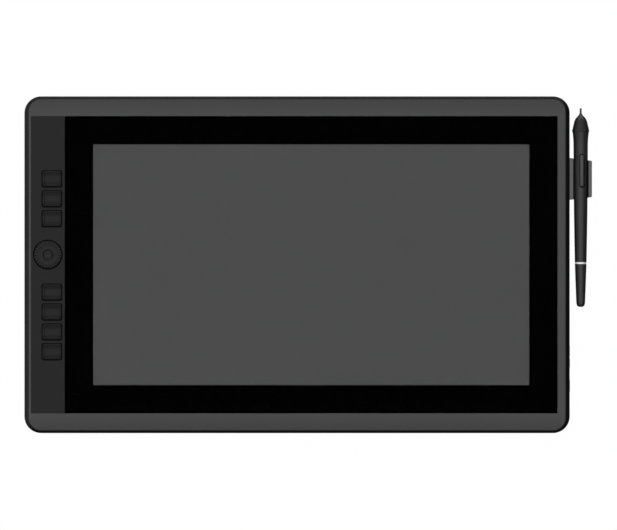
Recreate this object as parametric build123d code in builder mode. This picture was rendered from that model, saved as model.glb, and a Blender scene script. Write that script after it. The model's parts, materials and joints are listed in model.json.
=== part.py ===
from build123d import *
import os

os.makedirs("parts", exist_ok=True)

# A pen display lying on its rubber feet: +X right, +Y away from the user, +Z out of
# the screen, in mm. The pieces are drawn about the middle of the body, and are then
# moved so that the origin is on the desk under the middle of the whole, with the pen.

# Body outline, seen from the front
body_width = 434.0
body_depth = 268.0
body_corner_radius = 13.3
rim_side_width = 3.4
rim_top_width = 2.1
rim_bottom_width = 2.2
rim_slope_height = 2.2
rim_slope_radius = 0.6
rim_lip = 0.25
rear_edge_radius = 3.0

# Front frame: the bands round the glass, and the web under the ledge
frame_left_band = 1.9
frame_right_band = 6.3
frame_top_band = 13.6
frame_bottom_band = 13.5
frame_web = 2.0
frame_proud = 0.2
frame_gap = 0.1
frame_edge_radius = 0.5
face_gap = 0.05
panel_ledge = 0.5
panel_end_ledge = 5.0

# Screen layers, from the glass down
key_panel_width = 26.9
border_side_width = 22.6
border_end_width = 22.55
glass_thickness = 1.1
glass_corner_radius = 0.5
border_thickness = 0.15
tape_thickness = 0.2
tape_inset = 0.8
cell_margin = 5.0
cell_thickness = 1.2
diffuser_thickness = 0.4
guide_thickness = 2.0
led_strip_depth = 1.0
led_strip_inset = 6.0
tray_sheet = 0.5
tray_clearance = 0.15
tray_gap = 1.0
tray_corner_radius = 1.0
ear_length = 7.0
ear_width = 12.0
ear_sheet = 0.8
ear_x_shares = (-0.4, 0.0, 0.4)
digitizer_thickness = 0.8
digitizer_inset = 1.0
driver_strip_depth = 10.0
shield_thickness = 0.3
shield_side_strip = 14.0

# Rear cover: floor, ribs and screw bosses
foot_height = 1.5
floor_thickness = 1.8
room_gap = 0.3
rib_thickness = 1.6
rib_end_gap = 1.0
rib_span_share = 0.62
low_rib_offsets = (-35.0, 12.6, 60.0)
high_rib_y_shares = (0.2, 0.38)
boss_radius = 3.5
boss_x_shares = (-0.46, -0.23, 0.0, 0.23, 0.46)

# Screws
case_screw_radius = 1.25
case_head_radius = 2.3
case_head_height = 1.2
case_head_sink = 0.3
case_thread_depth = 2.0
small_screw_radius = 1.0
small_head_radius = 1.9
small_head_height = 1.0
small_thread_depth = 1.4
socket_radius = 0.9
socket_depth = 0.6
screw_clearance = 0.05

# Rubber feet
foot_length = 36.0
foot_width = 10.0
foot_recess = 0.8
foot_edge_radius = 0.6
foot_side_inset = 57.0
foot_end_inset = 16.0

# Fold-out legs in pockets of the rear cover
leg_side_inset = 97.0
leg_axis_inset = 29.0
leg_length = 58.0
leg_width = 30.0
leg_recess = 0.3
leg_gap = 0.5
leg_relief_depth = 2.2
leg_relief_margin = 4.0
leg_edge_radius = 0.8
tip_length = 8.0
tip_tongue_length = 5.0
tip_tongue_margin = 4.0
tip_tongue_thickness = 2.0
pocket_wall = 1.4
pocket_ceiling = 1.0
notch_width = 18.0
notch_length = 11.0
notch_corner_radius = 4.0
hinge_pin_radius = 1.0
hinge_pin_bite = 1.1
hinge_clearance = 0.05

# Main board and the sockets on the right edge
board_standoff = 0.8
board_thickness = 1.0
standoff_radius = 2.6
main_board_width = 96.0
main_board_setback = 2.9
board_corner_radius = 1.5
board_screw_inset = 4.0
board_screw_gap = 1.4
chip_height = 1.3
usb_width = 8.94
usb_height = 3.26
usb_length = 7.6
usb_shell = 0.3
usb_inset = 0.4
usb_tongue_width = 6.7
usb_tongue_thickness = 0.7
usb_tongue_setback = 1.2
usb_tongue_corner_radius = 0.17
usb_spacing = 3.56
usb_slot_gap = 0.12
usb_round_share = 0.49

# Side buttons on the right edge, with the gaps between neighbours from the front
power_front_gap = 32.75
power_length = 9.5
power_rear_gap = 9.65
brightness_down_length = 7.6
brightness_gap = 1.8
brightness_up_length = 8.2
brightness_rear_gap = 9.53
side_button_height = 2.6
side_button_corner_radius = 0.85
side_button_proud = 0.4
side_button_gap = 0.15
side_button_travel = 0.3
side_flange_width = 0.7
side_flange_thickness = 0.9
side_groove_count = 3
side_groove_pitch = 1.9
side_groove_radius = 0.35
side_edge_radius = 0.25
plunger_radius = 0.7
side_switch_length = 4.4
side_switch_depth = 3.6
side_switch_stem = 0.5
travel_margin = 0.1

# Express keys on the key panel
key_side_margin = 1.85
key_width = 16.7
key_depth = 13.9
key_pitch = 15.8
upper_key_y = 36.6
lower_key_y = -21.9
upper_keys = 3
lower_keys = 4
key_gap = 0.6
key_corner_radius = 1.3
key_proud = 0.5
key_travel = 0.6
key_edge_radius = 0.35
key_flange_width = 0.6
key_flange_thickness = 0.8
key_flange_gap = 0.1
key_post_radius = 1.5
key_post_length = 1.2
scoop_depth = 0.35
scoop_span = 11.0
scoop_end_width = 1.9
switch_size = 4.5
switch_height = 2.0
switch_stem_radius = 0.9
switch_stem_height = 0.6

# Key board under the key panel
key_board_width = 20.0
key_board_left_margin = 5.8
key_board_end_margin = 4.0
key_board_screw_inset = 2.6
key_standoff_radius = 2.4

# Dial with its push button
dial_y = 8.1
dial_side_margin = 1.65
dial_gap = 0.9
dial_proud = 1.0
dial_flange_width = 0.8
dial_edge_radius = 0.5
dial_hub_radius = 5.6
dial_dish_depth = 0.3
dial_dish_margin = 2.5
dial_groove_count = 48
dial_groove_radius = 0.3
dial_groove_length = 2.1
dial_button_radius = 3.5
dial_button_gap = 0.35
dial_button_edge_radius = 0.35
dial_button_sink = 0.25
dial_button_thickness = 2.6
dial_button_travel = 0.5
dial_button_dish = 0.25
dial_stem_radius = 1.3
encoder_size = 13.5
encoder_height = 1.8
encoder_collar_height = 2.0
encoder_collar_bore = 2.2
dial_switch_size = 2.8
dial_switch_height = 1.6
dial_switch_stem_radius = 0.7
dial_switch_stem = 0.4

# Ribbon cables
ribbon_thickness = 0.2
ribbon_tab = 6.0
key_ribbon_width = 12.0
key_ribbon_inset = 14.25
display_ribbon_width = 28.0
display_ribbon_share = -0.135
display_ribbon_overhang = 2.0
digitizer_ribbon_width = 18.0
digitizer_ribbon_overhang = 3.0

# Pen, lying along Y with its nib away from the user
pen_side_gap = 2.25
pen_tip_inset = 9.3
pen_desk_gap = 1.8
pen_radius = 6.7
nib_radius = 0.8
nib_exposed = 4.3
nib_tip_radius = 0.6
nib_length = 24.6
nib_travel = 0.5
nib_clearance = 0.12
nose_length = 12.7
nose_bore_radius = 3.5
nose_front_bore_radius = 2.5
nose_front_wall = 4.1
nose_step = 2.1
nose_spigot_length = 3.0
nose_spigot_wall = 1.1
barrel_length = 105.6
barrel_bore_radius = 3.6
barrel_end_length = 12.6
ring_width = 1.6
ring_inset = 0.12
ring_bore_radius = 3.55
tail_length = 34.1
tail_spigot_length = 11.0
tail_end_radius = 3.2
pen_fit_gap = 0.05
ferrite_radius = 2.4
ferrite_gap = 0.2
coil_radius = 3.4
coil_start_gap = 3.0
coil_length = 13.0
sensor_length = 6.0
sensor_end_gap = 0.5
pen_board_width = 6.0
pen_board_thickness = 1.0
pen_board_length = 44.0
pen_switch_height = 2.2
pen_switch_length = 4.0
pen_switch_width = 3.0
pen_button_start = 36.7
pen_button_length = 26.6
pen_button_width = 2.9
pen_button_gap = 0.15
pen_button_proud = 0.5
pen_button_depth = 2.4
pen_button_top_radius = 0.5
pen_trunnion_radius = 0.5
pen_trunnion_reach = 0.8
pen_trunnion_drop = 1.1

# Outlines of the pen as shares of a piece's length and of the pen's radius
nose_outline_shares = ((0.0, 0.18), (0.13, 0.33), (0.31, 0.62), (0.6, 0.8), (1.0, 0.92))
collar_outline_shares = ((0.0104, 1.0), (0.021, 0.945), (0.057, 0.882), (0.123, 0.855), (0.19, 0.848))
barrel_outline_shares = ((0.19, 0.848), (0.53, 0.813), (0.833, 0.746), (1.0, 0.697))
tail_outline_shares = ((0.0, 0.69), (0.14, 0.67), (0.6, 0.584), (0.93, 0.515))
barrel_seam_share = nose_outline_shares[-1][1]
barrel_rest_share = barrel_outline_shares[0][1]

# Pen holder: an open-topped cradle plugged into the right edge
holder_end_inset = 65.7
holder_root_length = 33.4
holder_lip_length = 29.0
holder_wall = 2.6
holder_floor = 1.0
holder_lip_height = 3.9
holder_clearance = 0.5
holder_bottom_radius = 5.0
holder_end_radius = 1.0
tongue_length = 18.0
tongue_height = 3.0
tongue_corner_radius = 0.7
tongue_fit_gap = 0.05
tongue_reach = 1.6
barb_width = 0.5
barb_length = 1.2
barb_height = 1.5

# One length by which every cut runs past the face it opens
overrun = 1.0

# Heights, worked out from the desk up to the glass
rear_z = foot_height
floor_z = rear_z + floor_thickness
board_low_z = floor_z + board_standoff
board_top_z = board_low_z + board_thickness
shield_low_z = board_top_z + usb_height + room_gap
digitizer_low_z = shield_low_z + shield_thickness
tray_low_z = digitizer_low_z + digitizer_thickness
guide_low_z = tray_low_z + tray_sheet
diffuser_low_z = guide_low_z + guide_thickness
cell_low_z = diffuser_low_z + diffuser_thickness
border_low_z = cell_low_z + cell_thickness
glass_low_z = border_low_z + border_thickness
face_z = glass_low_z + glass_thickness
ledge_z = border_low_z - tape_thickness
frame_low_z = ledge_z - frame_web
rim_z = face_z - frame_proud
edge_z = board_top_z + usb_height / 2

# Places on the front face
frame_width = body_width - 2 * rim_side_width
frame_depth = body_depth - rim_top_width - rim_bottom_width
frame_y = (rim_bottom_width - rim_top_width) / 2
frame_corner_radius = body_corner_radius - rim_side_width
opening_left = frame_left_band - frame_width / 2
opening_right = frame_width / 2 - frame_right_band
opening_top = frame_y + frame_depth / 2 - frame_top_band
opening_bottom = frame_y - frame_depth / 2 + frame_bottom_band
opening_depth = opening_top - opening_bottom
opening_y = (opening_top + opening_bottom) / 2
panel_right = opening_left + key_panel_width
panel_x = (opening_left + panel_right) / 2
glass_x = (panel_right + opening_right) / 2
glass_width = opening_right - panel_right

# Screen stack in plan
active_width = glass_width - 2 * border_side_width
active_depth = opening_depth - 2 * border_end_width
cell_width = active_width + 2 * cell_margin
cell_depth = active_depth + 2 * cell_margin
tray_inner_width = cell_width + 2 * tray_clearance
tray_inner_depth = cell_depth + 2 * tray_clearance
tray_width = tray_inner_width + 2 * tray_sheet
tray_depth = tray_inner_depth + 2 * tray_sheet
display_opening_width = tray_width + 2 * tray_gap
display_opening_depth = tray_depth + 2 * tray_gap
digitizer_width = tray_width - 2 * digitizer_inset
digitizer_depth = tray_depth - digitizer_inset - driver_strip_depth
digitizer_y = opening_y + (driver_strip_depth - digitizer_inset) / 2
ear_places = [
    (glass_x + share * tray_width, opening_y + side * (tray_depth + ear_length) / 2, side)
    for share in ear_x_shares
    for side in (-1, 1)
]

# Rear cover in plan
wall_x = frame_width / 2 + frame_gap
boss_rows = (
    frame_y + frame_depth / 2 - frame_top_band / 2,
    frame_y - frame_depth / 2 + frame_bottom_band / 2,
)
boss_places = [(share * frame_width, row) for row in boss_rows for share in boss_x_shares]
rib_top_z = shield_low_z - room_gap
pocket_depth = rib_top_z - pocket_ceiling - rear_z
leg_thickness = pocket_depth - leg_recess - leg_gap
leg_low_z = rear_z + leg_recess
leg_axis_y = body_depth / 2 - leg_axis_inset
leg_axis_z = leg_low_z + leg_thickness / 2
pocket_front_y = leg_axis_y + leg_thickness / 2 + leg_gap
pocket_back_y = leg_axis_y - leg_length - leg_gap
pocket_width = leg_width + 2 * leg_gap
leg_places = (leg_side_inset - body_width / 2, body_width / 2 - leg_side_inset)
foot_places = [
    (x_side * (body_width / 2 - foot_side_inset), y_side * (body_depth / 2 - foot_end_inset))
    for x_side in (-1, 1)
    for y_side in (-1, 1)
]

# Along the right edge, from the front
power_y = power_front_gap + power_length / 2 - body_depth / 2
brightness_down_y = power_y + power_length / 2 + power_rear_gap + brightness_down_length / 2
brightness_up_y = (
    brightness_down_y + brightness_down_length / 2 + brightness_gap + brightness_up_length / 2
)
usb_lower_y = brightness_up_y + brightness_up_length / 2 + brightness_rear_gap + usb_width / 2
usb_upper_y = usb_lower_y + usb_width + usb_spacing
usb_y = (usb_upper_y, usb_lower_y)
side_button_y = (brightness_up_y, brightness_down_y, power_y)
side_button_length = (brightness_up_length, brightness_down_length, power_length)

# Main board in plan: it reaches past the sockets and switches by its screws
board_end = board_screw_gap + small_head_radius + board_screw_inset
main_board_top = usb_upper_y + usb_width / 2 + board_end
main_board_bottom = power_y - side_switch_length / 2 - board_end
main_board_depth = main_board_top - main_board_bottom
main_board_y = (main_board_top + main_board_bottom) / 2
main_board_right = wall_x - main_board_setback
main_board_x = main_board_right - main_board_width / 2
main_board_left = main_board_right - main_board_width
display_ribbon_x = main_board_x + display_ribbon_share * main_board_width
board_screw_places = [
    (
        main_board_x + x_side * (main_board_width / 2 - board_screw_inset),
        main_board_y + y_side * (main_board_depth / 2 - board_screw_inset),
    )
    for x_side in (-1, 1)
    for y_side in (-1, 1)
]

# Keys: the number of each key runs from the top one down
key_x = panel_right - key_side_margin - key_width / 2
upper_key_places = [upper_key_y + key_pitch * (upper_keys - 1 - step) for step in range(upper_keys)]
lower_key_places = [lower_key_y - key_pitch * step for step in range(lower_keys)]
key_places = upper_key_places + lower_key_places
key_flange_top_z = ledge_z - key_flange_gap
key_flange_low_z = key_flange_top_z - key_flange_thickness
key_top_z = face_z + key_proud
key_post_low_z = key_flange_low_z - key_post_length
switch_stem_top_z = key_post_low_z - key_travel - travel_margin
switch_top_z = switch_stem_top_z - switch_stem_height
key_board_top_z = switch_top_z - switch_height
key_board_low_z = key_board_top_z - board_thickness
key_board_left = -wall_x + key_board_left_margin
key_board_x = key_board_left + key_board_width / 2
key_board_top_y = key_places[0] + key_depth / 2 + key_board_end_margin
key_board_bottom_y = key_places[-1] - key_depth / 2 - key_board_end_margin
key_board_y = (key_board_top_y + key_board_bottom_y) / 2
key_board_depth = key_board_top_y - key_board_bottom_y
key_ribbon_y = key_board_bottom_y + key_ribbon_inset + key_ribbon_width / 2
key_screw_places = [
    (
        key_board_x + x_side * (key_board_width / 2 - key_board_screw_inset),
        key_board_y + y_side * (key_board_depth / 2 - key_board_screw_inset),
    )
    for x_side in (-1, 1)
    for y_side in (-1, 1)
]

# Dial, in the middle of the key panel's width
dial_x = panel_x
dial_opening_radius = key_panel_width / 2 - dial_side_margin
dial_radius = dial_opening_radius - dial_gap
dial_top_z = face_z + dial_proud
dial_bore_radius = dial_button_radius + dial_button_gap
encoder_top_z = key_board_top_z + encoder_height
dial_hub_low_z = encoder_top_z + travel_margin
dial_button_top_z = dial_top_z - dial_button_sink
dial_switch_top_z = key_board_top_z + dial_switch_height
dial_stem_low_z = dial_switch_top_z + dial_switch_stem + dial_button_travel + travel_margin

# Pen places, measured along the pen from its tip towards its tail
pen_x = body_width / 2 + pen_side_gap + pen_radius
pen_tip_y = body_depth / 2 - pen_tip_inset
pen_z = pen_desk_gap + pen_radius
pen_plane = Plane(origin=(pen_x, pen_tip_y, pen_z), x_dir=(0, -1, 0), z_dir=(-1, 0, 0))
pen_axis = Axis((pen_x, pen_tip_y, pen_z), (0, -1, 0))
barrel_start = nib_exposed + nose_length
ring_start = barrel_start + barrel_length
barrel_bore_end = ring_start - barrel_end_length
tail_start = ring_start + ring_width
pen_length = tail_start + tail_length
ferrite_start = nib_exposed + nose_front_wall + ferrite_gap
ferrite_end = nib_length + nib_travel + travel_margin
coil_start = ferrite_start + coil_start_gap
sensor_start = nib_length + nib_travel + sensor_end_gap
sensor_end = sensor_start + sensor_length
nose_step_start = nib_exposed + nose_front_wall + nose_step
spigot_end = barrel_start + nose_spigot_length
spigot_radius = nose_bore_radius + nose_spigot_wall
barrel_rest_radius = pen_radius * barrel_rest_share
pen_button_top = barrel_rest_radius + pen_button_proud
pen_button_low = pen_button_top - pen_button_depth - pen_button_proud
pen_button_middle = pen_button_start + pen_button_length / 2
pen_trunnion_z = pen_z + pen_button_top - pen_trunnion_drop - pen_button_proud
pen_trunnion_y = pen_tip_y - pen_button_middle

# Holder profile, and the middle of the whole with the holder on its right
holder_y = body_depth / 2 - holder_end_inset
channel_radius = barrel_rest_radius + holder_clearance
holder_right = pen_x + channel_radius + holder_wall
holder_low_z = pen_z - channel_radius - holder_floor
holder_top_z = pen_z + holder_lip_height
middle_x = (holder_right - body_width / 2) / 2


# Shared steps: each adds to, or cuts from, the part that is being built

def add_plate(size, low, high, centre=(0, 0), corner=0, mode=Mode.ADD):
    """A flat block between two heights, with rounded corners if a radius is given."""
    with BuildSketch(Plane.XY.offset(low)) as outline:
        with Locations(centre):
            if corner:
                RectangleRounded(size[0], size[1], corner)
            else:
                Rectangle(size[0], size[1])
    extrude(to_extrude=outline.sketch, amount=high - low, mode=mode)


def add_disc(radius, low, high, places=((0, 0),), mode=Mode.ADD):
    """Round bosses or holes along Z at a list of places."""
    with BuildSketch(Plane.XY.offset(low)) as outline:
        with Locations(*places):
            Circle(radius)
    extrude(to_extrude=outline.sketch, amount=high - low, mode=mode)


def add_rod(radius, left, right, y, z, mode=Mode.ADD):
    """A round rod or hole along X."""
    with BuildSketch(Plane.YZ.offset(left)) as outline:
        with Locations((y, z)):
            Circle(radius)
    extrude(to_extrude=outline.sketch, amount=right - left, mode=mode)


def add_side_slot(length, height, left, right, y, z, corner, mode=Mode.ADD):
    """A rounded bar or slot along X, in the right-hand edge."""
    with BuildSketch(Plane.YZ.offset(left)) as outline:
        with Locations((y, z)):
            RectangleRounded(length, height, corner)
    extrude(to_extrude=outline.sketch, amount=right - left, mode=mode)


def add_pen_tube(outer, inner, start, end, mode=Mode.ADD):
    """A round or hollow cylinder along the pen's axis, start and end from the tip."""
    with BuildSketch(Plane((pen_x, pen_tip_y - start, pen_z), z_dir=(0, -1, 0))) as outline:
        Circle(outer)
        if inner:
            Circle(inner, mode=Mode.SUBTRACT)
    extrude(to_extrude=outline.sketch, amount=end - start, mode=mode)


def screw(places, low, head_radius, head_height, shank_radius, shank_length):
    """Screws with a hexagon socket, head down, at a list of places."""
    with BuildPart() as screws:
        add_disc(head_radius, low, low + head_height, places)
        add_disc(shank_radius, low + head_height, low + head_height + shank_length, places)
        with BuildSketch(Plane.XY.offset(low)) as sockets:
            with Locations(*places):
                RegularPolygon(socket_radius, 6)
        extrude(to_extrude=sockets.sketch, amount=socket_depth, mode=Mode.SUBTRACT)
    return screws


def save(piece, name):
    """Label a finished piece, move it to the origin of the whole and write it."""
    piece.part.label = name
    export_step(piece.part.moved(Location((-middle_x, 0, 0))), f"parts/{name}.step")


# Rear cover: a tray whose rim slopes up on all sides to the front frame
with BuildPart() as rear_cover:
    slope_low_z = rim_z - rim_slope_height
    with BuildSketch(Plane.XY.offset(rear_z)):
        RectangleRounded(body_width, body_depth, body_corner_radius)
    extrude(amount=slope_low_z - rear_z)
    fillet(rear_cover.edges().group_by(Axis.Z)[0], rear_edge_radius)
    rim_margin = frame_gap + rim_lip
    with BuildSketch(Plane.XY.offset(slope_low_z)):
        RectangleRounded(body_width, body_depth, body_corner_radius)
    with BuildSketch(Plane.XY.offset(rim_z)):
        with Locations((0, frame_y)):
            RectangleRounded(
                frame_width + 2 * rim_margin, frame_depth + 2 * rim_margin,
                frame_corner_radius + rim_margin,
            )
    loft()
    slope_edges = rear_cover.edges().filter_by_position(
        Axis.Z, slope_low_z - rim_lip, slope_low_z + rim_lip
    )
    fillet(slope_edges, rim_slope_radius)
    add_plate(
        (frame_width + 2 * frame_gap, frame_depth + 2 * frame_gap), floor_z, rim_z + overrun,
        (0, frame_y), frame_corner_radius + frame_gap, Mode.SUBTRACT,
    )
    # Bosses carry the front frame, and a case screw goes up through each
    add_disc(boss_radius, floor_z, frame_low_z, boss_places)
    with Locations(*[Location((x, y, rear_z), (180, 0, 0)) for x, y in boss_places]):
        CounterBoreHole(
            case_screw_radius + screw_clearance, case_head_radius + 2 * screw_clearance,
            case_head_sink + case_head_height, frame_low_z - rear_z,
        )
    # Ribs carry the screen stack, clear of the pockets and the main board
    low_rib_right = main_board_left - rib_end_gap
    low_rib_left = -frame_width * rib_span_share / 2
    for offset in low_rib_offsets:
        add_plate(
            (low_rib_right - low_rib_left, rib_thickness), floor_z, rib_top_z,
            ((low_rib_right + low_rib_left) / 2, key_ribbon_y + offset),
        )
    for share in high_rib_y_shares:
        add_plate(
            (leg_places[1] - leg_places[0] - pocket_width - 2 * pocket_wall, rib_thickness),
            floor_z, rib_top_z,
            (0, share * frame_depth),
        )
    # Standoffs for the two boards
    add_disc(standoff_radius, floor_z, board_low_z, board_screw_places)
    add_disc(
        small_screw_radius + screw_clearance, board_low_z - small_thread_depth, board_low_z,
        board_screw_places, Mode.SUBTRACT,
    )
    add_disc(key_standoff_radius, floor_z, key_board_low_z, key_screw_places)
    add_disc(
        small_screw_radius + screw_clearance, key_board_low_z - small_thread_depth, key_board_low_z,
        key_screw_places, Mode.SUBTRACT,
    )
    # Pockets for the legs, each with a finger notch at its back end
    for leg_x in leg_places:
        pocket_length = pocket_front_y - pocket_back_y
        pocket_y = (pocket_front_y + pocket_back_y) / 2
        notch_y = pocket_back_y - notch_length / 2
        add_plate(
            (pocket_width + 2 * pocket_wall, pocket_length + 2 * pocket_wall),
            floor_z, rib_top_z, (leg_x, pocket_y),
        )
        add_plate(
            (notch_width + 2 * pocket_wall, notch_length + pocket_wall), floor_z, rib_top_z,
            (leg_x, notch_y - pocket_wall / 2),
        )
        add_plate(
            (pocket_width, pocket_length), rear_z - overrun, rib_top_z - pocket_ceiling,
            (leg_x, pocket_y), 0, Mode.SUBTRACT,
        )
        add_plate(
            (notch_width, notch_length + notch_corner_radius), rear_z - overrun,
            rib_top_z - pocket_ceiling, (leg_x, notch_y + notch_corner_radius / 2),
            notch_corner_radius, Mode.SUBTRACT,
        )
        pin_half = pocket_width / 2 + hinge_pin_bite
        add_rod(
            hinge_pin_radius + hinge_clearance, leg_x - pin_half, leg_x + pin_half,
            leg_axis_y, leg_axis_z, Mode.SUBTRACT,
        )
    # Recesses for the rubber feet
    with BuildSketch(Plane.XY.offset(rear_z)) as foot_recesses:
        with Locations(*foot_places):
            SlotOverall(foot_length, foot_width)
    extrude(to_extrude=foot_recesses.sketch, amount=foot_recess, mode=Mode.SUBTRACT)
    # Slots in the right-hand wall: sockets, buttons and the holder's tongue
    wall_cut = (wall_x - overrun, body_width / 2 + overrun)
    for socket_y in usb_y:
        slot_height = usb_height + 2 * usb_slot_gap
        add_side_slot(
            usb_width + 2 * usb_slot_gap, slot_height, *wall_cut, socket_y, edge_z,
            slot_height * usb_round_share, Mode.SUBTRACT,
        )
    for button_y, length in zip(side_button_y, side_button_length):
        add_side_slot(
            length + 2 * side_button_gap, side_button_height + 2 * side_button_gap, *wall_cut,
            button_y, edge_z, side_button_corner_radius, Mode.SUBTRACT,
        )
    add_side_slot(
        tongue_length + 2 * tongue_fit_gap, tongue_height + 2 * tongue_fit_gap, *wall_cut,
        holder_y, pen_z, tongue_corner_radius + tongue_fit_gap, Mode.SUBTRACT,
    )
save(rear_cover, "rear_cover")

# Front frame: a metal ring with a ledge for the glass and the key panel
with BuildPart() as front_frame:
    add_plate((frame_width, frame_depth), frame_low_z, face_z, (0, frame_y), frame_corner_radius)
    fillet(front_frame.edges().group_by(Axis.Z)[-1], frame_edge_radius)
    add_plate(
        (opening_right - opening_left, opening_depth), ledge_z, face_z + overrun,
        ((opening_left + opening_right) / 2, opening_y), glass_corner_radius, Mode.SUBTRACT,
    )
    add_plate(
        (display_opening_width, display_opening_depth), frame_low_z - overrun, ledge_z,
        (glass_x, opening_y), tray_corner_radius + tray_gap, Mode.SUBTRACT,
    )
    add_plate(
        (key_panel_width - 2 * panel_ledge, opening_depth - 2 * panel_end_ledge),
        frame_low_z - overrun, ledge_z, (panel_x, opening_y), glass_corner_radius, Mode.SUBTRACT,
    )
    add_disc(
        case_screw_radius + screw_clearance, frame_low_z, frame_low_z + case_thread_depth + screw_clearance,
        boss_places, Mode.SUBTRACT,
    )
    ear_holes = [(x, y) for x, y, side in ear_places]
    add_disc(
        small_screw_radius + screw_clearance, frame_low_z,
        frame_low_z + small_thread_depth + screw_clearance, ear_holes, Mode.SUBTRACT,
    )
save(front_frame, "front_frame")

# Cover glass, the black border printed behind it, and the tape that holds them
pane_size = (glass_width - 2 * face_gap, opening_depth - 2 * face_gap)
pane_centre = (glass_x, opening_y)
with BuildPart() as cover_glass:
    add_plate(pane_size, glass_low_z, face_z, pane_centre, glass_corner_radius)
save(cover_glass, "cover_glass")

with BuildPart() as black_border:
    add_plate(pane_size, border_low_z, glass_low_z, pane_centre, glass_corner_radius)
    add_plate(
        (active_width, active_depth), border_low_z, glass_low_z, pane_centre, 0, Mode.SUBTRACT,
    )
save(black_border, "black_border")

with BuildPart() as glass_tape:
    tape_size = (pane_size[0] - 2 * tape_inset, pane_size[1] - 2 * tape_inset)
    add_plate(tape_size, ledge_z, border_low_z, pane_centre, glass_corner_radius)
    add_plate(
        (display_opening_width + 2 * tape_inset, display_opening_depth + 2 * tape_inset),
        ledge_z, border_low_z, pane_centre, tray_corner_radius, Mode.SUBTRACT,
    )
save(glass_tape, "glass_tape")

# Screen layers behind the glass
with BuildPart() as lcd_cell:
    add_plate((cell_width, cell_depth), cell_low_z, border_low_z, pane_centre)
save(lcd_cell, "lcd_cell")

with BuildPart() as diffuser_sheet:
    add_plate((cell_width, cell_depth), diffuser_low_z, cell_low_z, pane_centre)
save(diffuser_sheet, "diffuser_sheet")

with BuildPart() as light_guide:
    guide_depth = cell_depth - led_strip_depth
    add_plate(
        (cell_width, guide_depth), guide_low_z, diffuser_low_z,
        (glass_x, opening_y + led_strip_depth / 2),
    )
save(light_guide, "light_guide")

with BuildPart() as led_strip:
    add_plate(
        (cell_width - 2 * led_strip_inset, led_strip_depth), guide_low_z, diffuser_low_z,
        (glass_x, opening_y - cell_depth / 2 + led_strip_depth / 2),
    )
save(led_strip, "led_strip")

# Sheet-metal tray round the layers, with ears screwed to the frame
with BuildPart() as lcd_tray:
    add_plate((tray_width, tray_depth), tray_low_z, ledge_z, pane_centre, tray_corner_radius)
    add_plate(
        (tray_inner_width, tray_inner_depth), guide_low_z, ledge_z + overrun, pane_centre,
        tray_corner_radius - tray_sheet, Mode.SUBTRACT,
    )
    for ear_x, ear_y, side in ear_places:
        add_plate(
            (ear_width, ear_length), frame_low_z - ear_sheet, frame_low_z, (ear_x, ear_y),
        )
    add_disc(
        small_screw_radius + screw_clearance, frame_low_z - ear_sheet, frame_low_z, ear_holes,
        Mode.SUBTRACT,
    )
save(lcd_tray, "lcd_tray")

# Digitizer board and the shield behind it
with BuildPart() as digitizer_board:
    add_plate(
        (digitizer_width, digitizer_depth), digitizer_low_z, tray_low_z, (glass_x, digitizer_y),
        tray_corner_radius,
    )
save(digitizer_board, "digitizer_board")

with BuildPart() as shield_plate:
    add_plate(
        (digitizer_width - shield_side_strip, digitizer_depth), shield_low_z, digitizer_low_z,
        (glass_x - shield_side_strip / 2, digitizer_y), tray_corner_radius,
    )
save(shield_plate, "shield_plate")

# Key panel with its openings
with BuildPart() as key_panel:
    add_plate(
        (key_panel_width - 2 * face_gap, opening_depth - 2 * face_gap), ledge_z, face_z,
        (panel_x, opening_y), glass_corner_radius,
    )
    for key_y in key_places:
        add_plate(
            (key_width, key_depth), ledge_z - overrun, face_z + overrun, (key_x, key_y),
            key_corner_radius + key_gap, Mode.SUBTRACT,
        )
    add_disc(
        dial_opening_radius, ledge_z - overrun, face_z + overrun, [(dial_x, dial_y)], Mode.SUBTRACT,
    )
save(key_panel, "key_panel")


def express_key(key_y):
    """A key cap with a scooped top, a flange under the panel and a post below."""
    centre = (key_x, key_y)
    cap_width = key_width - 2 * key_gap
    cap_depth = key_depth - 2 * key_gap
    scoop_radius = scoop_span ** 2 / (8 * scoop_depth) + scoop_depth / 2
    scoop_half = cap_width / 2 - scoop_end_width
    with BuildPart() as key:
        add_plate((cap_width, cap_depth), key_flange_top_z, key_top_z, centre, key_corner_radius)
        fillet(key.edges().group_by(Axis.Z)[-1], key_edge_radius)
        add_plate(
            (key_width + 2 * key_flange_width, key_depth + 2 * key_flange_width),
            key_flange_low_z, key_flange_top_z, centre, key_corner_radius,
        )
        add_disc(key_post_radius, key_post_low_z, key_flange_low_z, [centre])
        add_rod(
            scoop_radius, key_x - scoop_half, key_x + scoop_half,
            key_y, key_top_z + scoop_radius - scoop_depth, Mode.SUBTRACT,
        )
    return key


for number, key_y in enumerate(key_places, start=1):
    save(express_key(key_y), f"express_key_{number}")

# Dial: a knurled wheel turning on the encoder's collar
with BuildPart() as dial:
    centre = [(dial_x, dial_y)]
    add_disc(dial_radius, key_flange_top_z, dial_top_z, centre)
    fillet(dial.edges().group_by(Axis.Z)[-1], dial_edge_radius)
    add_disc(dial_opening_radius + dial_flange_width, key_flange_low_z, key_flange_top_z, centre)
    add_disc(dial_hub_radius, dial_hub_low_z, key_flange_low_z, centre)
    add_disc(
        dial_radius - dial_dish_margin, dial_top_z - dial_dish_depth, dial_top_z, centre,
        Mode.SUBTRACT,
    )
    add_disc(
        dial_bore_radius, dial_hub_low_z - overrun, dial_top_z + overrun, centre, Mode.SUBTRACT,
    )
    groove_middle = dial_radius - dial_groove_length / 2
    with Locations(Location((dial_x, dial_y, dial_top_z))):
        with PolarLocations(groove_middle + dial_groove_radius, dial_groove_count):
            Cylinder(
                dial_groove_radius, dial_groove_length, rotation=(0, 90, 0), mode=Mode.SUBTRACT,
            )
save(dial, "dial")

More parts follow.
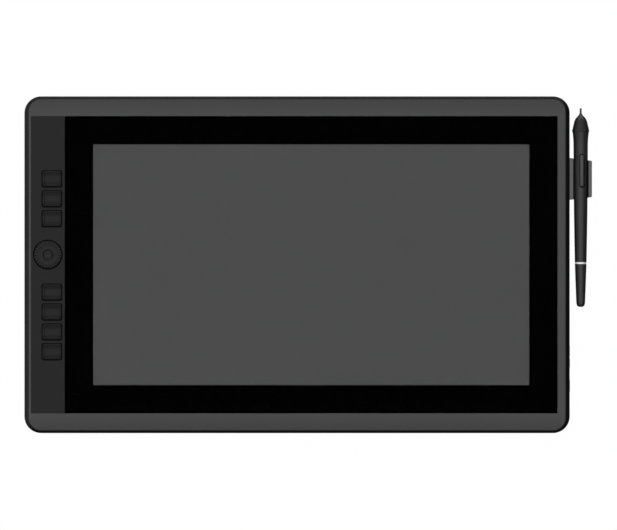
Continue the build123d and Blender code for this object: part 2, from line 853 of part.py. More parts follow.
with BuildPart() as dial_button:
    centre = [(dial_x, dial_y)]
    cap_low_z = dial_button_top_z - dial_button_thickness
    add_disc(dial_button_radius, cap_low_z, dial_button_top_z, centre)
    fillet(dial_button.edges().group_by(Axis.Z)[-1], dial_button_edge_radius)
    add_disc(dial_stem_radius, dial_stem_low_z, cap_low_z, centre)
    dish_radius = dial_button_radius ** 2 / (2 * dial_button_dish)
    with Locations((dial_x, dial_y, dial_button_top_z + dish_radius - dial_button_dish / 2)):
        Sphere(dish_radius, mode=Mode.SUBTRACT)
save(dial_button, "dial_button")

# Encoder body with the collar that the dial turns on
with BuildPart() as dial_encoder:
    centre = [(dial_x, dial_y)]
    add_plate((encoder_size, encoder_size), key_board_top_z, encoder_top_z, centre[0])
    add_disc(
        dial_bore_radius - hinge_clearance, encoder_top_z, encoder_top_z + encoder_collar_height, centre,
    )
    add_disc(
        encoder_collar_bore, key_board_top_z, encoder_top_z + encoder_collar_height, centre,
        Mode.SUBTRACT,
    )
save(dial_encoder, "dial_encoder")

with BuildPart() as dial_switch:
    centre = [(dial_x, dial_y)]
    add_plate(
        (dial_switch_size, dial_switch_size), key_board_top_z, dial_switch_top_z, centre[0],
    )
    add_disc(
        dial_switch_stem_radius, dial_switch_top_z, dial_switch_top_z + dial_switch_stem, centre,
    )
save(dial_switch, "dial_switch")

# Key board with one switch under each key
with BuildPart() as key_board:
    add_plate(
        (key_board_width, key_board_depth), key_board_low_z, key_board_top_z,
        (key_board_x, key_board_y), board_corner_radius,
    )
    add_disc(
        small_screw_radius + screw_clearance, key_board_low_z, key_board_top_z, key_screw_places,
        Mode.SUBTRACT,
    )
save(key_board, "key_board")

with BuildPart() as key_switches:
    switch_places = [(key_x, key_y) for key_y in key_places]
    for place in switch_places:
        add_plate((switch_size, switch_size), key_board_top_z, switch_top_z, place)
    add_disc(switch_stem_radius, switch_top_z, switch_stem_top_z, switch_places)
save(key_switches, "key_switches")

# Main board with its chips
with BuildPart() as main_board:
    add_plate(
        (main_board_width, main_board_depth), board_low_z, board_top_z,
        (main_board_x, main_board_y), board_corner_radius,
    )
    add_disc(
        small_screw_radius + screw_clearance, board_low_z, board_top_z, board_screw_places,
        Mode.SUBTRACT,
    )
save(main_board, "main_board")

# Chips: place and size as shares of the board's width and depth
chip_shares = (
    (-0.2, 0.14, 0.18, 0.21),
    (0.1, 0.18, 0.12, 0.14),
    (0.08, -0.12, 0.1, 0.16),
    (-0.28, -0.14, 0.08, 0.1),
)
with BuildPart() as board_chips:
    for x_share, y_share, width_share, depth_share in chip_shares:
        add_plate(
            (width_share * main_board_width, depth_share * main_board_depth),
            board_top_z, board_top_z + chip_height,
            (main_board_x + x_share * main_board_width, main_board_y + y_share * main_board_depth),
        )
save(board_chips, "board_chips")

# USB sockets: a rounded shell with a tongue inside, its mouth at the edge
usb_mouth_x = body_width / 2 - usb_inset
usb_back_x = usb_mouth_x - usb_length


def usb_shell_part(socket_y):
    with BuildPart() as shell:
        add_side_slot(
            usb_width, usb_height, usb_back_x, usb_mouth_x, socket_y, edge_z,
            usb_height * usb_round_share,
        )
        inner_height = usb_height - 2 * usb_shell
        add_side_slot(
            usb_width - 2 * usb_shell, inner_height, usb_back_x + usb_shell, usb_mouth_x + overrun,
            socket_y, edge_z, inner_height * usb_round_share, Mode.SUBTRACT,
        )
    return shell


save(usb_shell_part(usb_upper_y), "usb_socket_upper")
save(usb_shell_part(usb_lower_y), "usb_socket_lower")

with BuildPart() as usb_tongues:
    for socket_y in usb_y:
        add_side_slot(
            usb_tongue_width, usb_tongue_thickness, usb_back_x + usb_shell,
            usb_mouth_x - usb_tongue_setback, socket_y, edge_z, usb_tongue_corner_radius,
        )
save(usb_tongues, "usb_tongues")


def side_button(button_y, length, grooves):
    """A cap in the wall's slot, a flange behind the wall and a plunger."""
    outer_x = body_width / 2 + side_button_proud
    flange_right = wall_x - travel_margin
    flange_left = flange_right - side_flange_thickness
    with BuildPart() as button:
        add_side_slot(
            length, side_button_height, flange_right, outer_x, button_y, edge_z,
            side_button_corner_radius - side_button_gap,
        )
        fillet(button.edges().group_by(Axis.X)[-1], side_edge_radius)
        add_side_slot(
            length + 2 * side_flange_width, side_button_height + 2 * side_flange_width,
            flange_left, flange_right, button_y, edge_z, side_button_corner_radius,
        )
        add_rod(plunger_radius, plunger_left_x, flange_left, button_y, edge_z)
        for step in range(grooves):
            offset_y = (step - (grooves - 1) / 2) * side_groove_pitch
            groove_plane = Plane.XY.offset(edge_z - side_button_height)
            with BuildSketch(groove_plane) as groove:
                with Locations((outer_x, button_y + offset_y)):
                    Circle(side_groove_radius)
            extrude(to_extrude=groove.sketch, amount=2 * side_button_height, mode=Mode.SUBTRACT)
    return button


side_switch_right = main_board_right - travel_margin
side_stem_right = side_switch_right + side_switch_stem
plunger_left_x = side_stem_right + side_button_travel + travel_margin
save(side_button(brightness_up_y, brightness_up_length, side_groove_count), "brightness_up_button")
save(side_button(brightness_down_y, brightness_down_length, 0), "brightness_down_button")
save(side_button(power_y, power_length, 0), "power_button")

with BuildPart() as side_switches:
    for button_y in side_button_y:
        add_plate(
            (side_switch_depth, side_switch_length), board_top_z, board_top_z + usb_height,
            (side_switch_right - side_switch_depth / 2, button_y),
        )
        add_rod(plunger_radius, side_switch_right, side_stem_right, button_y, edge_z)
save(side_switches, "side_switches")

# Screws
case_screws = screw(
    boss_places, rear_z + case_head_sink, case_head_radius, case_head_height, case_screw_radius,
    frame_low_z + case_thread_depth - rear_z - case_head_sink - case_head_height,
)
save(case_screws, "case_screws")

tray_screws = screw(
    ear_holes, frame_low_z - ear_sheet - small_head_height, small_head_radius, small_head_height,
    small_screw_radius, ear_sheet + small_thread_depth,
)
save(tray_screws, "tray_screws")

# The boards' screws point down, with the socket on top of the head
with BuildPart() as board_screws:
    for places, top_z in ((board_screw_places, board_top_z), (key_screw_places, key_board_top_z)):
        add_disc(small_head_radius, top_z, top_z + small_head_height, places)
        shank_low_z = top_z - board_thickness - small_thread_depth + screw_clearance
        add_disc(small_screw_radius, shank_low_z, top_z, places)
        socket_low_z = top_z + small_head_height - socket_depth
        with BuildSketch(Plane.XY.offset(socket_low_z)) as screw_sockets:
            with Locations(*places):
                RegularPolygon(socket_radius, 6)
        extrude(to_extrude=screw_sockets.sketch, amount=socket_depth, mode=Mode.SUBTRACT)
save(board_screws, "board_screws")

# Rubber feet, seated in the rear cover's recesses
with BuildPart() as rubber_feet:
    with BuildSketch() as foot_outlines:
        with Locations(*foot_places):
            SlotOverall(foot_length - 2 * face_gap, foot_width - 2 * face_gap)
    extrude(to_extrude=foot_outlines.sketch, amount=rear_z + foot_recess)
    fillet(rubber_feet.edges().group_by(Axis.Z)[0], foot_edge_radius)
save(rubber_feet, "rubber_feet")


def leg(leg_x):
    """A leg folded into its pocket: round at the hinge, with a tongue for the rubber tip."""
    body_end_y = leg_axis_y - leg_length + tip_length
    body_middle_y = (leg_axis_y + body_end_y) / 2
    with BuildPart() as leg_part:
        add_plate(
            (leg_width, leg_axis_y - body_end_y), leg_low_z, leg_low_z + leg_thickness,
            (leg_x, body_middle_y),
        )
        add_rod(
            leg_thickness / 2, leg_x - leg_width / 2, leg_x + leg_width / 2, leg_axis_y, leg_axis_z,
        )
        fillet(
            leg_part.edges().filter_by(Axis.Y).group_by(Axis.Z)[0], leg_edge_radius,
        )
        # The hidden side is hollowed to one rib down the middle
        relief_length = leg_axis_y - body_end_y - leg_thickness / 2 - 2 * leg_relief_margin
        relief_width = (leg_width - 3 * leg_relief_margin) / 2
        for side in (-1, 1):
            add_plate(
                (relief_width, relief_length), leg_low_z + leg_thickness - leg_relief_depth,
                leg_low_z + leg_thickness,
                (
                    leg_x + side * (relief_width + leg_relief_margin) / 2,
                    body_end_y + leg_relief_margin + relief_length / 2,
                ),
                0, Mode.SUBTRACT,
            )
        add_plate(
            (leg_width - 2 * tip_tongue_margin, tip_tongue_length),
            leg_axis_z - tip_tongue_thickness / 2, leg_axis_z + tip_tongue_thickness / 2,
            (leg_x, body_end_y - tip_tongue_length / 2),
        )
        add_rod(
            hinge_pin_radius + hinge_clearance, leg_x - leg_width / 2 - overrun,
            leg_x + leg_width / 2 + overrun, leg_axis_y, leg_axis_z, Mode.SUBTRACT,
        )
    return leg_part


def leg_tip(leg_x):
    """The rubber shoe pushed over the leg's tongue."""
    body_end_y = leg_axis_y - leg_length + tip_length
    with BuildPart() as tip:
        add_plate(
            (leg_width, tip_length), leg_low_z, leg_low_z + leg_thickness,
            (leg_x, body_end_y - tip_length / 2),
        )
        fillet(
            tip.edges().filter_by(Axis.X).group_by(Axis.Y)[0], leg_edge_radius,
        )
        fillet(
            tip.edges().filter_by(Axis.Z).group_by(Axis.Y)[0], leg_edge_radius,
        )
        add_plate(
            (leg_width - 2 * tip_tongue_margin, tip_tongue_length),
            leg_axis_z - tip_tongue_thickness / 2, leg_axis_z + tip_tongue_thickness / 2,
            (leg_x, body_end_y - tip_tongue_length / 2), 0, Mode.SUBTRACT,
        )
    return tip


for side_name, leg_x in zip(("left", "right"), leg_places):
    save(leg(leg_x), f"{side_name}_leg")
    save(leg_tip(leg_x), f"{side_name}_leg_tip")

with BuildPart() as leg_hinge_pins:
    for leg_x in leg_places:
        pin_half = pocket_width / 2 + hinge_pin_bite - hinge_clearance
        add_rod(hinge_pin_radius, leg_x - pin_half, leg_x + pin_half, leg_axis_y, leg_axis_z)
save(leg_hinge_pins, "leg_hinge_pins")


def ribbon(plane, points, width):
    """A flat cable: a thin strip that follows a bent line, as wide as given."""
    with BuildPart() as strip:
        with BuildSketch(plane) as section:
            with BuildLine() as route:
                Polyline(*points)
            trace(lines=route.line, line_width=ribbon_thickness)
        extrude(to_extrude=section.sketch, amount=width / 2, both=True)
    return strip


# Ribbon from under the key board, along the floor, to the main board
half_ribbon = ribbon_thickness / 2
key_ribbon_plane = Plane((0, key_ribbon_y, 0), x_dir=(1, 0, 0), z_dir=(0, -1, 0))
key_drop_x = key_board_left + key_board_width + ribbon_tab / 2
key_ribbon = ribbon(
    key_ribbon_plane,
    (
        (key_drop_x - ribbon_tab, key_board_low_z - half_ribbon),
        (key_drop_x, key_board_low_z - half_ribbon),
        (key_drop_x, floor_z + half_ribbon),
        (main_board_left - ribbon_tab / 2, floor_z + half_ribbon),
        (main_board_left - ribbon_tab / 2, board_low_z - half_ribbon),
        (main_board_left + ribbon_tab / 2, board_low_z - half_ribbon),
    ),
    key_ribbon_width,
)
save(key_ribbon, "key_ribbon")

# Ribbon from the back of the screen's lower edge to the top of the main board
display_ribbon_plane = Plane((display_ribbon_x, 0, 0), x_dir=(0, 1, 0), z_dir=(1, 0, 0))
tray_bottom_y = opening_y - tray_depth / 2
display_bend_y = tray_bottom_y - display_ribbon_overhang
display_ribbon = ribbon(
    display_ribbon_plane,
    (
        (tray_bottom_y + ribbon_tab, tray_low_z - half_ribbon),
        (display_bend_y, tray_low_z - half_ribbon),
        (display_bend_y, board_top_z + half_ribbon),
        (display_bend_y + ribbon_tab, board_top_z + half_ribbon),
    ),
    display_ribbon_width,
)
save(display_ribbon, "display_ribbon")

# Ribbon from the digitizer board's free right edge to the top of the main board
digitizer_ribbon_plane = Plane((0, main_board_y, 0), x_dir=(1, 0, 0), z_dir=(0, -1, 0))
digitizer_right_x = glass_x + digitizer_width / 2
digitizer_bend_x = digitizer_right_x + digitizer_ribbon_overhang
digitizer_ribbon = ribbon(
    digitizer_ribbon_plane,
    (
        (digitizer_right_x - ribbon_tab, digitizer_low_z - half_ribbon),
        (digitizer_bend_x, digitizer_low_z - half_ribbon),
        (digitizer_bend_x, board_top_z + half_ribbon),
        (digitizer_bend_x - ribbon_tab, board_top_z + half_ribbon),
    ),
    digitizer_ribbon_width,
)
save(digitizer_ribbon, "digitizer_ribbon")

# Pen holder: a cradle with a round channel, narrower at its outer lip
with BuildPart() as pen_holder:
    holder_left = body_width / 2
    with BuildSketch(Plane.XY.offset(holder_low_z)) as plan:
        with BuildLine():
            Polyline(
                (holder_left, holder_y - holder_root_length / 2),
                (holder_right, holder_y - holder_lip_length / 2),
                (holder_right, holder_y + holder_lip_length / 2),
                (holder_left, holder_y + holder_root_length / 2),
                close=True,
            )
        make_face()
        fillet(plan.vertices().group_by(Axis.X)[-1], holder_end_radius)
    extrude(to_extrude=plan.sketch, amount=holder_top_z - holder_low_z)
    fillet(
        pen_holder.edges().filter_by(Axis.Y).group_by(Axis.Z)[0].sort_by(Axis.X)[-1],
        holder_bottom_radius,
    )
    channel_plane = Plane((pen_x, holder_y, pen_z), x_dir=(1, 0, 0), z_dir=(0, -1, 0))
    with BuildSketch(channel_plane) as channel:
        Circle(channel_radius)
        with Locations((0, holder_lip_height)):
            Rectangle(2 * channel_radius, 2 * holder_lip_height)
    extrude(to_extrude=channel.sketch, amount=holder_root_length, both=True, mode=Mode.SUBTRACT)
    # Tongue through the wall, with a barb at each end behind it
    tongue_left = wall_x - tongue_reach
    add_side_slot(
        tongue_length, tongue_height, tongue_left, holder_left, holder_y, pen_z,
        tongue_corner_radius,
    )
    barb_right = wall_x - tongue_fit_gap
    add_plate(
        (barb_length, tongue_length + 2 * barb_width), pen_z - barb_height / 2,
        pen_z + barb_height / 2, (barb_right - barb_length / 2, holder_y),
    )
save(pen_holder, "pen_holder")


def outline_points(shares, start, length):
    """Points of a pen outline: distance from the tip, and radius."""
    return [(start + along * length, out * pen_radius) for along, out in shares]


# Nose cone, with the hole for the nib and a spigot into the barrel
with BuildPart() as pen_nose_cone:
    nose_points = outline_points(nose_outline_shares, nib_exposed, nose_length)
    with BuildSketch(pen_plane):
        with BuildLine():
            Line((nib_exposed, 0), nose_points[0])
            Spline(*nose_points)
            Line(nose_points[-1], (barrel_start, 0))
            Line((barrel_start, 0), (nib_exposed, 0))
        make_face()
    revolve(axis=pen_axis)
    add_pen_tube(spigot_radius, 0, barrel_start, spigot_end)
    add_pen_tube(nose_bore_radius, 0, nose_step_start, spigot_end, Mode.SUBTRACT)
    add_pen_tube(
        nose_front_bore_radius, 0, nib_exposed + nose_front_wall, nose_step_start, Mode.SUBTRACT,
    )
    add_pen_tube(nib_radius + nib_clearance, 0, 0, nose_step_start, Mode.SUBTRACT)
save(pen_nose_cone, "pen_nose_cone")

# Barrel, with its raised collar behind the nose and the slot for the button
with BuildPart() as pen_barrel:
    collar_points = outline_points(collar_outline_shares, barrel_start, barrel_length)
    barrel_points = outline_points(barrel_outline_shares, barrel_start, barrel_length)
    with BuildSketch(pen_plane):
        with BuildLine():
            Line((barrel_start, 0), (barrel_start, pen_radius * barrel_seam_share))
            Line((barrel_start, pen_radius * barrel_seam_share), collar_points[0])
            Spline(*collar_points)
            Spline(*barrel_points)
            Line(barrel_points[-1], (ring_start, 0))
            Line((ring_start, 0), (barrel_start, 0))
        make_face()
    revolve(axis=pen_axis)
    add_pen_tube(
        barrel_bore_radius, 0, barrel_start, barrel_bore_end, Mode.SUBTRACT,
    )
    add_pen_tube(
        spigot_radius + pen_fit_gap, 0, barrel_start, spigot_end + pen_fit_gap, Mode.SUBTRACT,
    )
    add_pen_tube(
        ring_bore_radius, 0, barrel_bore_end, ring_start, Mode.SUBTRACT,
    )
    with BuildSketch(Plane.XY.offset(pen_z + barrel_bore_radius / 2)) as button_slot:
        with Locations((pen_x, pen_trunnion_y)):
            SlotOverall(
                pen_button_length + 2 * pen_button_gap, pen_button_width + 2 * pen_button_gap,
                rotation=90,
            )
    extrude(to_extrude=button_slot.sketch, amount=pen_radius, mode=Mode.SUBTRACT)
    trunnion_half = pen_button_width / 2 + pen_trunnion_reach
    add_rod(
        pen_trunnion_radius + hinge_clearance, pen_x - trunnion_half - pen_fit_gap,
        pen_x + trunnion_half + pen_fit_gap, pen_trunnion_y, pen_trunnion_z, Mode.SUBTRACT,
    )
save(pen_barrel, "pen_barrel")

# Rocker button on two trunnions
with BuildPart() as pen_button:
    with BuildSketch(Plane.XY.offset(pen_z + pen_button_low)) as bar:
        with Locations((pen_x, pen_trunnion_y)):
            SlotOverall(pen_button_length, pen_button_width, rotation=90)
    extrude(to_extrude=bar.sketch, amount=pen_button_top - pen_button_low)
    fillet(pen_button.edges().group_by(Axis.Z)[-1], pen_button_top_radius)
    add_rod(
        pen_trunnion_radius, pen_x - trunnion_half, pen_x + trunnion_half,
        pen_trunnion_y, pen_trunnion_z,
    )
save(pen_button, "pen_button")

with BuildPart() as pen_ring:
    ring_radius = pen_radius * barrel_outline_shares[-1][1] - ring_inset
    add_pen_tube(ring_radius, ring_bore_radius, ring_start, tail_start)
save(pen_ring, "pen_ring")

# Tail cap: tapered, with a round end and a spigot through the ring
with BuildPart() as pen_tail_cap:
    tail_points = outline_points(tail_outline_shares, tail_start, tail_length)
    with BuildSketch(pen_plane):
        with BuildLine():
            Line((tail_start, 0), tail_points[0])
            Spline(*tail_points)
            Bezier(tail_points[-1], (pen_length, tail_end_radius), (pen_length, 0))
            Line((pen_length, 0), (tail_start, 0))
        make_face()
    revolve(axis=pen_axis)
    add_pen_tube(
        ring_bore_radius - pen_fit_gap, 0, tail_start - tail_spigot_length, tail_start,
    )
save(pen_tail_cap, "pen_tail_cap")

# Nib, and what reads it inside the pen
with BuildPart() as pen_nib:
    add_pen_tube(nib_radius, 0, 0, nib_length)
    fillet(pen_nib.edges().group_by(Axis.Y)[-1], nib_tip_radius)
save(pen_nib, "pen_nib")

with BuildPart() as pen_ferrite:
    add_pen_tube(ferrite_radius, nib_radius + nib_clearance, ferrite_start, ferrite_end)
save(pen_ferrite, "pen_ferrite")

with BuildPart() as pen_coil:
    add_pen_tube(coil_radius, ferrite_radius, coil_start, coil_start + coil_length)
save(pen_coil, "pen_coil")

with BuildPart() as pen_pressure_sensor:
    add_pen_tube(barrel_bore_radius - pen_fit_gap, 0, sensor_start, sensor_end)
save(pen_pressure_sensor, "pen_pressure_sensor")

with BuildPart() as pen_circuit_board:
    board_middle_y = pen_tip_y - sensor_end - pen_board_length / 2
    board_half = pen_board_thickness / 2
    add_plate(
        (pen_board_width, pen_board_length), pen_z - board_half, pen_z + board_half,
        (pen_x, board_middle_y),
    )
    for side in (-1, 1):
        switch_y = pen_trunnion_y + side * (pen_button_length / 2 - pen_switch_length)
        add_plate(
            (pen_switch_width, pen_switch_length), pen_z + board_half,
            pen_z + board_half + pen_switch_height, (pen_x, switch_y),
        )
save(pen_circuit_board, "pen_circuit_board")
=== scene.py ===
import json
from math import cos, hypot, pi, radians, sin

import bmesh
import bpy
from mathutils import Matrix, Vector


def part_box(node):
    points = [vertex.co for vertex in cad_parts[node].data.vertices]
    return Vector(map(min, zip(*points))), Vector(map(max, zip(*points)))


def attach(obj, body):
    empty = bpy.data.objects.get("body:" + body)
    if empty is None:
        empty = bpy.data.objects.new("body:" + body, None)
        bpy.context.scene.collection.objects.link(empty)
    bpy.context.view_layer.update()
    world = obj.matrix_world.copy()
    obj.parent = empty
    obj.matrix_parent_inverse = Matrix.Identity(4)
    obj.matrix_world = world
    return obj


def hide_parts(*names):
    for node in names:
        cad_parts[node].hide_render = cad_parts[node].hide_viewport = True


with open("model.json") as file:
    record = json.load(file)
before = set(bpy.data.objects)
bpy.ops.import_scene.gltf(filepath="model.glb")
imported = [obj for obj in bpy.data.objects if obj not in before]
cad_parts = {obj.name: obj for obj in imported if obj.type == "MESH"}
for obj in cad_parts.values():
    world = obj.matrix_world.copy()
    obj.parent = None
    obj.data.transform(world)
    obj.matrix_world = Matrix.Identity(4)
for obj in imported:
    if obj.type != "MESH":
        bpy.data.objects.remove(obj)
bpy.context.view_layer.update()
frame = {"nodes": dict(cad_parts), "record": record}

# A pen display lying on its feet, seen from straight above. Metres, in the part's own
# frame: +X right, +Y away from the user, +Z out of the screen.
mm = 0.001
nodes = frame["nodes"]
record = frame["record"]
body_of = {
    node: body for body, members in record["behaviour"]["bodies"].items() for node in members
}


def middle(low, high):
    """The middle of a box, in X and Y."""
    return ((low.x + high.x) / 2, (low.y + high.y) / 2)


def halves(low, high):
    """Half the width and half the depth of a box."""
    return ((high.x - low.x) / 2, (high.y - low.y) / 2)


# Places that several pieces share, read from the frame
cover_low, cover_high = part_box("rear_cover")
frame_low, frame_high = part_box("front_frame")
glass_low, glass_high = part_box("cover_glass")
panel_low, panel_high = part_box("key_panel")
cell_low, cell_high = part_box("lcd_cell")
dial_low, dial_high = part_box("dial")
nib_low, nib_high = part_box("pen_nib")
button_low, button_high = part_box("pen_button")
face_z = glass_high.z
pen_x = (nib_low.x + nib_high.x) / 2
pen_z = (nib_low.z + nib_high.z) / 2
pen_tip_y = nib_high.y

# Sizes that several pieces share
key_numbers = range(1, 8)
glass_corner = 0.5 * mm
button_half_width = 2.1 * mm
button_roll = radians(7.5)
# The rounding of a long shape's ends, a hair under its half width so that no points meet
round_end_share = 0.98
# Points of a mesh that are nearer than this are one point
merge_distance = 0.0005 * mm
weld_distance = 0.001 * mm
# Edges that are rounded, and those that stay sharp in smooth shading, in degrees
rounded_angle = 40
sharp_angle = 35
pen_sharp_angle = 30
key_sharp_angle = 50

# The photograph: how long one of its pixels is on the tablet's face, and which
# pixel lies over the middle of the body
photo_width_px = 617
photo_height_px = 530
body_middle_px = (297.05, 264.73)
pixel = 0.7954 * mm

# The camera's lens and sensor in millimetres, and how far it sees in metres
lens = 300
sensor_width = 36
camera_reach = 20

# Light levels, where 1 is white. The rest are parts of a direction that is 1 long: a wall
# grows from wall_end to wall_full of it towards that side, and ends at wall_top of it up.
rear_wall_level = 5.6
left_wall_level = 1.25
dark_wall_level = 0.05
wall_end = 0.68
wall_full = 0.9
wall_top = 0.45
wall_top_fade = 0.15
dome_level = 2.06
dome_gather = 5.2
gap_inner = radians(6)
gap_outer = radians(7)
lamp_place = (-3.6, 2.4, 6.4)
lamp_size = 3.0
lamp_power = 40

# The floor: how much of it is plain white to the camera, the rest being lit
floor_half = 4.0
floor_drop = 0.1 * mm
floor_grey = (0.1, 0.1, 0.1)
floor_white_share = 0.8
floor_white_level = 1.23

# How far below the face the gaps round keys and dial are painted dark (painted shade), and between
# which distances from the middle along Y the frame's colour is painted darker outwards (painted
# shade)
painted_shade_depth = 0.85 * mm
painted_shade_start = 119 * mm
painted_shade_end = 132.5 * mm


# Meshes

def held(value):
    """A number kept between nothing and one."""
    return min(1.0, max(0.0, value))


def between(start, end, share):
    """The point at that share of the way from start to end, in X and Y."""
    return (start[0] + (end[0] - start[0]) * share, start[1] + (end[1] - start[1]) * share)


def rounded_rectangle(centre, half_width, half_depth, radius, corner_steps=8, side_steps=1):
    """Points round a rounded rectangle, anticlockwise, the same number for every size."""
    arcs = []
    for x_side, y_side, start in ((1, 1, 0), (-1, 1, 90), (-1, -1, 180), (1, -1, 270)):
        corner_x = centre[0] + x_side * (half_width - radius)
        corner_y = centre[1] + y_side * (half_depth - radius)
        arc = []
        for step in range(corner_steps + 1):
            angle = radians(start + 90 * step / corner_steps)
            arc.append((corner_x + radius * cos(angle), corner_y + radius * sin(angle)))
        arcs.append(arc)
    points = []
    for arc, following in zip(arcs, arcs[1:] + arcs[:1]):
        points += arc
        for step in range(1, side_steps):
            points.append(between(arc[-1], following[0], step / side_steps))
    return points


def circle(centre, radius, steps):
    """Points round a circle, anticlockwise."""
    angles = [2 * pi * step / steps for step in range(steps)]
    return [(centre[0] + radius * cos(angle), centre[1] + radius * sin(angle)) for angle in angles]


def quarter_round(radius, steps):
    """How far in, and how far below the top, a rounded edge is at each step up it."""
    places = []
    for step in range(1, steps + 1):
        angle = radians(90 * step / steps)
        places.append((radius * (1 - cos(angle)), radius * (1 - sin(angle))))
    return places


def at_height(outline, height):
    """A flat outline as a ring at one height."""
    return [(x, y, height) for x, y in outline]


def loft(rings, joined=False):
    """Vertices and faces of a skin over rings that have the same number of points.

    The first and last rings get a face each or, if joined, a skin between them.
    """
    count = len(rings[0])
    vertices = [point for ring in rings for point in ring]
    starts = [level * count for level in range(len(rings))]
    levels = list(zip(starts, starts[1:]))
    if joined:
        levels.append((starts[-1], starts[0]))
    faces = []
    for low, high in levels:
        for index in range(count):
            following = (index + 1) % count
            faces.append((low + index, low + following, high + following, high + index))
    if not joined:
        faces.append(tuple(reversed(range(count))))
        faces.append(tuple(range(starts[-1], starts[-1] + count)))
    return vertices, faces


def linked(mesh, builder, angle):
    """An object of the built faces, smooth-shaded but for its edges over the given angle."""
    bmesh.ops.recalc_face_normals(builder, faces=builder.faces)
    builder.to_mesh(mesh)
    builder.free()
    mesh.shade_smooth()
    mesh.set_sharp_from_angle(angle=radians(angle))
    made = bpy.data.objects.new(mesh.name, mesh)
    bpy.context.scene.collection.objects.link(made)
    return made


def new_object(name, vertices, faces, angle=sharp_angle):
    """An object of vertices and faces, with points that meet made one."""
    mesh = bpy.data.meshes.new(name)
    mesh.from_pydata(vertices, [], faces)
    builder = bmesh.new()
    builder.from_mesh(mesh)
    bmesh.ops.remove_doubles(builder, verts=builder.verts, dist=merge_distance)
    return linked(mesh, builder, angle)


def plate(name, outlines, low, high):
    """A flat plate between two heights: the first outline is its edge, the rest are holes."""
    builder = bmesh.new()
    edges = []
    for outline in outlines:
        corners = [builder.verts.new(point) for point in at_height(outline, high)]
        edges += [builder.edges.new((corners[i - 1], corners[i])) for i in range(len(corners))]
    bmesh.ops.triangle_fill(builder, use_beauty=True, edges=edges, normal=(0, 0, 1))
    made = bmesh.ops.extrude_face_region(builder, geom=builder.faces[:])
    lowered = [item for item in made["geom"] if isinstance(item, bmesh.types.BMVert)]
    bmesh.ops.translate(builder, verts=lowered, vec=(0, 0, low - high))
    return linked(bpy.data.meshes.new(name), builder, sharp_angle)


def round_edges(piece, width):
    """A small rounding on every sharp edge, with the flats kept flat."""
    bevel = piece.modifiers.new("edges", "BEVEL")
    bevel.width = width
    bevel.segments = 2
    bevel.limit_method = "ANGLE"
    bevel.angle_limit = radians(rounded_angle)
    bevel.use_clamp_overlap = True
    bevel.harden_normals = True


def cut_out(piece, cutter):
    """Take the cutter's solid out of the piece, and delete the cutter."""
    difference = piece.modifiers.new("cut", "BOOLEAN")
    difference.operation = "DIFFERENCE"
    difference.solver = "EXACT"
    difference.object = cutter
    shown = bpy.context.evaluated_depsgraph_get()
    mesh = bpy.data.meshes.new_from_object(piece.evaluated_get(shown))
    piece.modifiers.clear()
    piece.data = mesh
    bpy.data.objects.remove(cutter)


def stand_for(piece, node, material):
    """Let a piece ride, in place of the CAD node of that name."""
    piece.data.materials.clear()
    piece.data.materials.append(material)
    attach(piece, body_of[node])
    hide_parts(node)


def dress(node, material, edge):
    """Give a CAD node its material and, unless edge is nothing, a small rounding."""
    piece = nodes[node]
    piece.data.materials.clear()
    piece.data.materials.append(material)
    weld = piece.modifiers.new("weld", "WELD")
    weld.merge_threshold = weld_distance
    if edge:
        round_edges(piece, edge)


# Material nodes

def new_material(name, colour, roughness, metallic=0.0, specular=0.5):
    """A material with its node tree and its surface shader."""
    material = bpy.data.materials.new(name)
    material.use_nodes = True
    tree = material.node_tree
    shader = tree.nodes["Principled BSDF"]
    shader.inputs["Base Color"].default_value = (*colour, 1)
    shader.inputs["Roughness"].default_value = roughness
    shader.inputs["Metallic"].default_value = metallic
    shader.inputs["Specular IOR Level"].default_value = specular
    return material, tree, shader


def own_place(tree):
    """The place on the piece, in its own frame, in metres."""
    return tree.nodes.new("ShaderNodeTexCoord").outputs["Object"]


def scaled_place(tree, size, stretch=(1, 1, 1)):
    """The place on the piece counted in steps of size, made longer by stretch on each axis."""
    mapping = tree.nodes.new("ShaderNodeMapping")
    mapping.inputs["Scale"].default_value = [1 / (size * share) for share in stretch]
    tree.links.new(own_place(tree), mapping.inputs["Vector"])
    return mapping.outputs["Vector"]


def axis_of(tree, place, axis):
    """One coordinate of a place."""
    split = tree.nodes.new("ShaderNodeSeparateXYZ")
    tree.links.new(place, split.inputs["Vector"])
    return split.outputs[axis]


def noise(tree, size, detail=2.0, stretch=(1, 1, 1)):
    """A noise texture whose features are about as long as size, in metres."""
    texture = tree.nodes.new("ShaderNodeTexNoise")
    texture.inputs["Scale"].default_value = 1.0
    texture.inputs["Detail"].default_value = detail
    tree.links.new(scaled_place(tree, size, stretch), texture.inputs["Vector"])
    return texture.outputs["Fac"]


def remap(tree, value, low, high, to_low, to_high):
    """A value from one range carried to another, and held inside it."""
    node = tree.nodes.new("ShaderNodeMapRange")
    node.inputs["From Min"].default_value = low
    node.inputs["From Max"].default_value = high
    node.inputs["To Min"].default_value = to_low
    node.inputs["To Max"].default_value = to_high
    tree.links.new(value, node.inputs["Value"])
    return node.outputs["Result"]


def spread(tree, texture, low, high):
    """A noise texture's usual values, which lie about its middle, spread over a range."""
    return remap(tree, texture, 0.3, 0.7, low, high)


def arithmetic(tree, operation, first, second):
    """A maths node on two sockets or numbers."""
    node = tree.nodes.new("ShaderNodeMath")
    node.operation = operation
    for socket, value in zip(node.inputs, (first, second)):
        if isinstance(value, (int, float)):
            socket.default_value = value
        else:
            tree.links.new(value, socket)
    return node.outputs["Value"]


def blend_colours(tree, factor, first, second):
    """Two colours, or a colour and a colour socket, mixed by a factor socket."""
    node = tree.nodes.new("ShaderNodeMix")
    node.data_type = "RGBA"
    tree.links.new(factor, node.inputs["Factor"])
    for socket, colour in ((node.inputs[6], first), (node.inputs[7], second)):
        if isinstance(colour, tuple):
            socket.default_value = (*colour, 1)
        else:
            tree.links.new(colour, socket)
    return node.outputs[2]


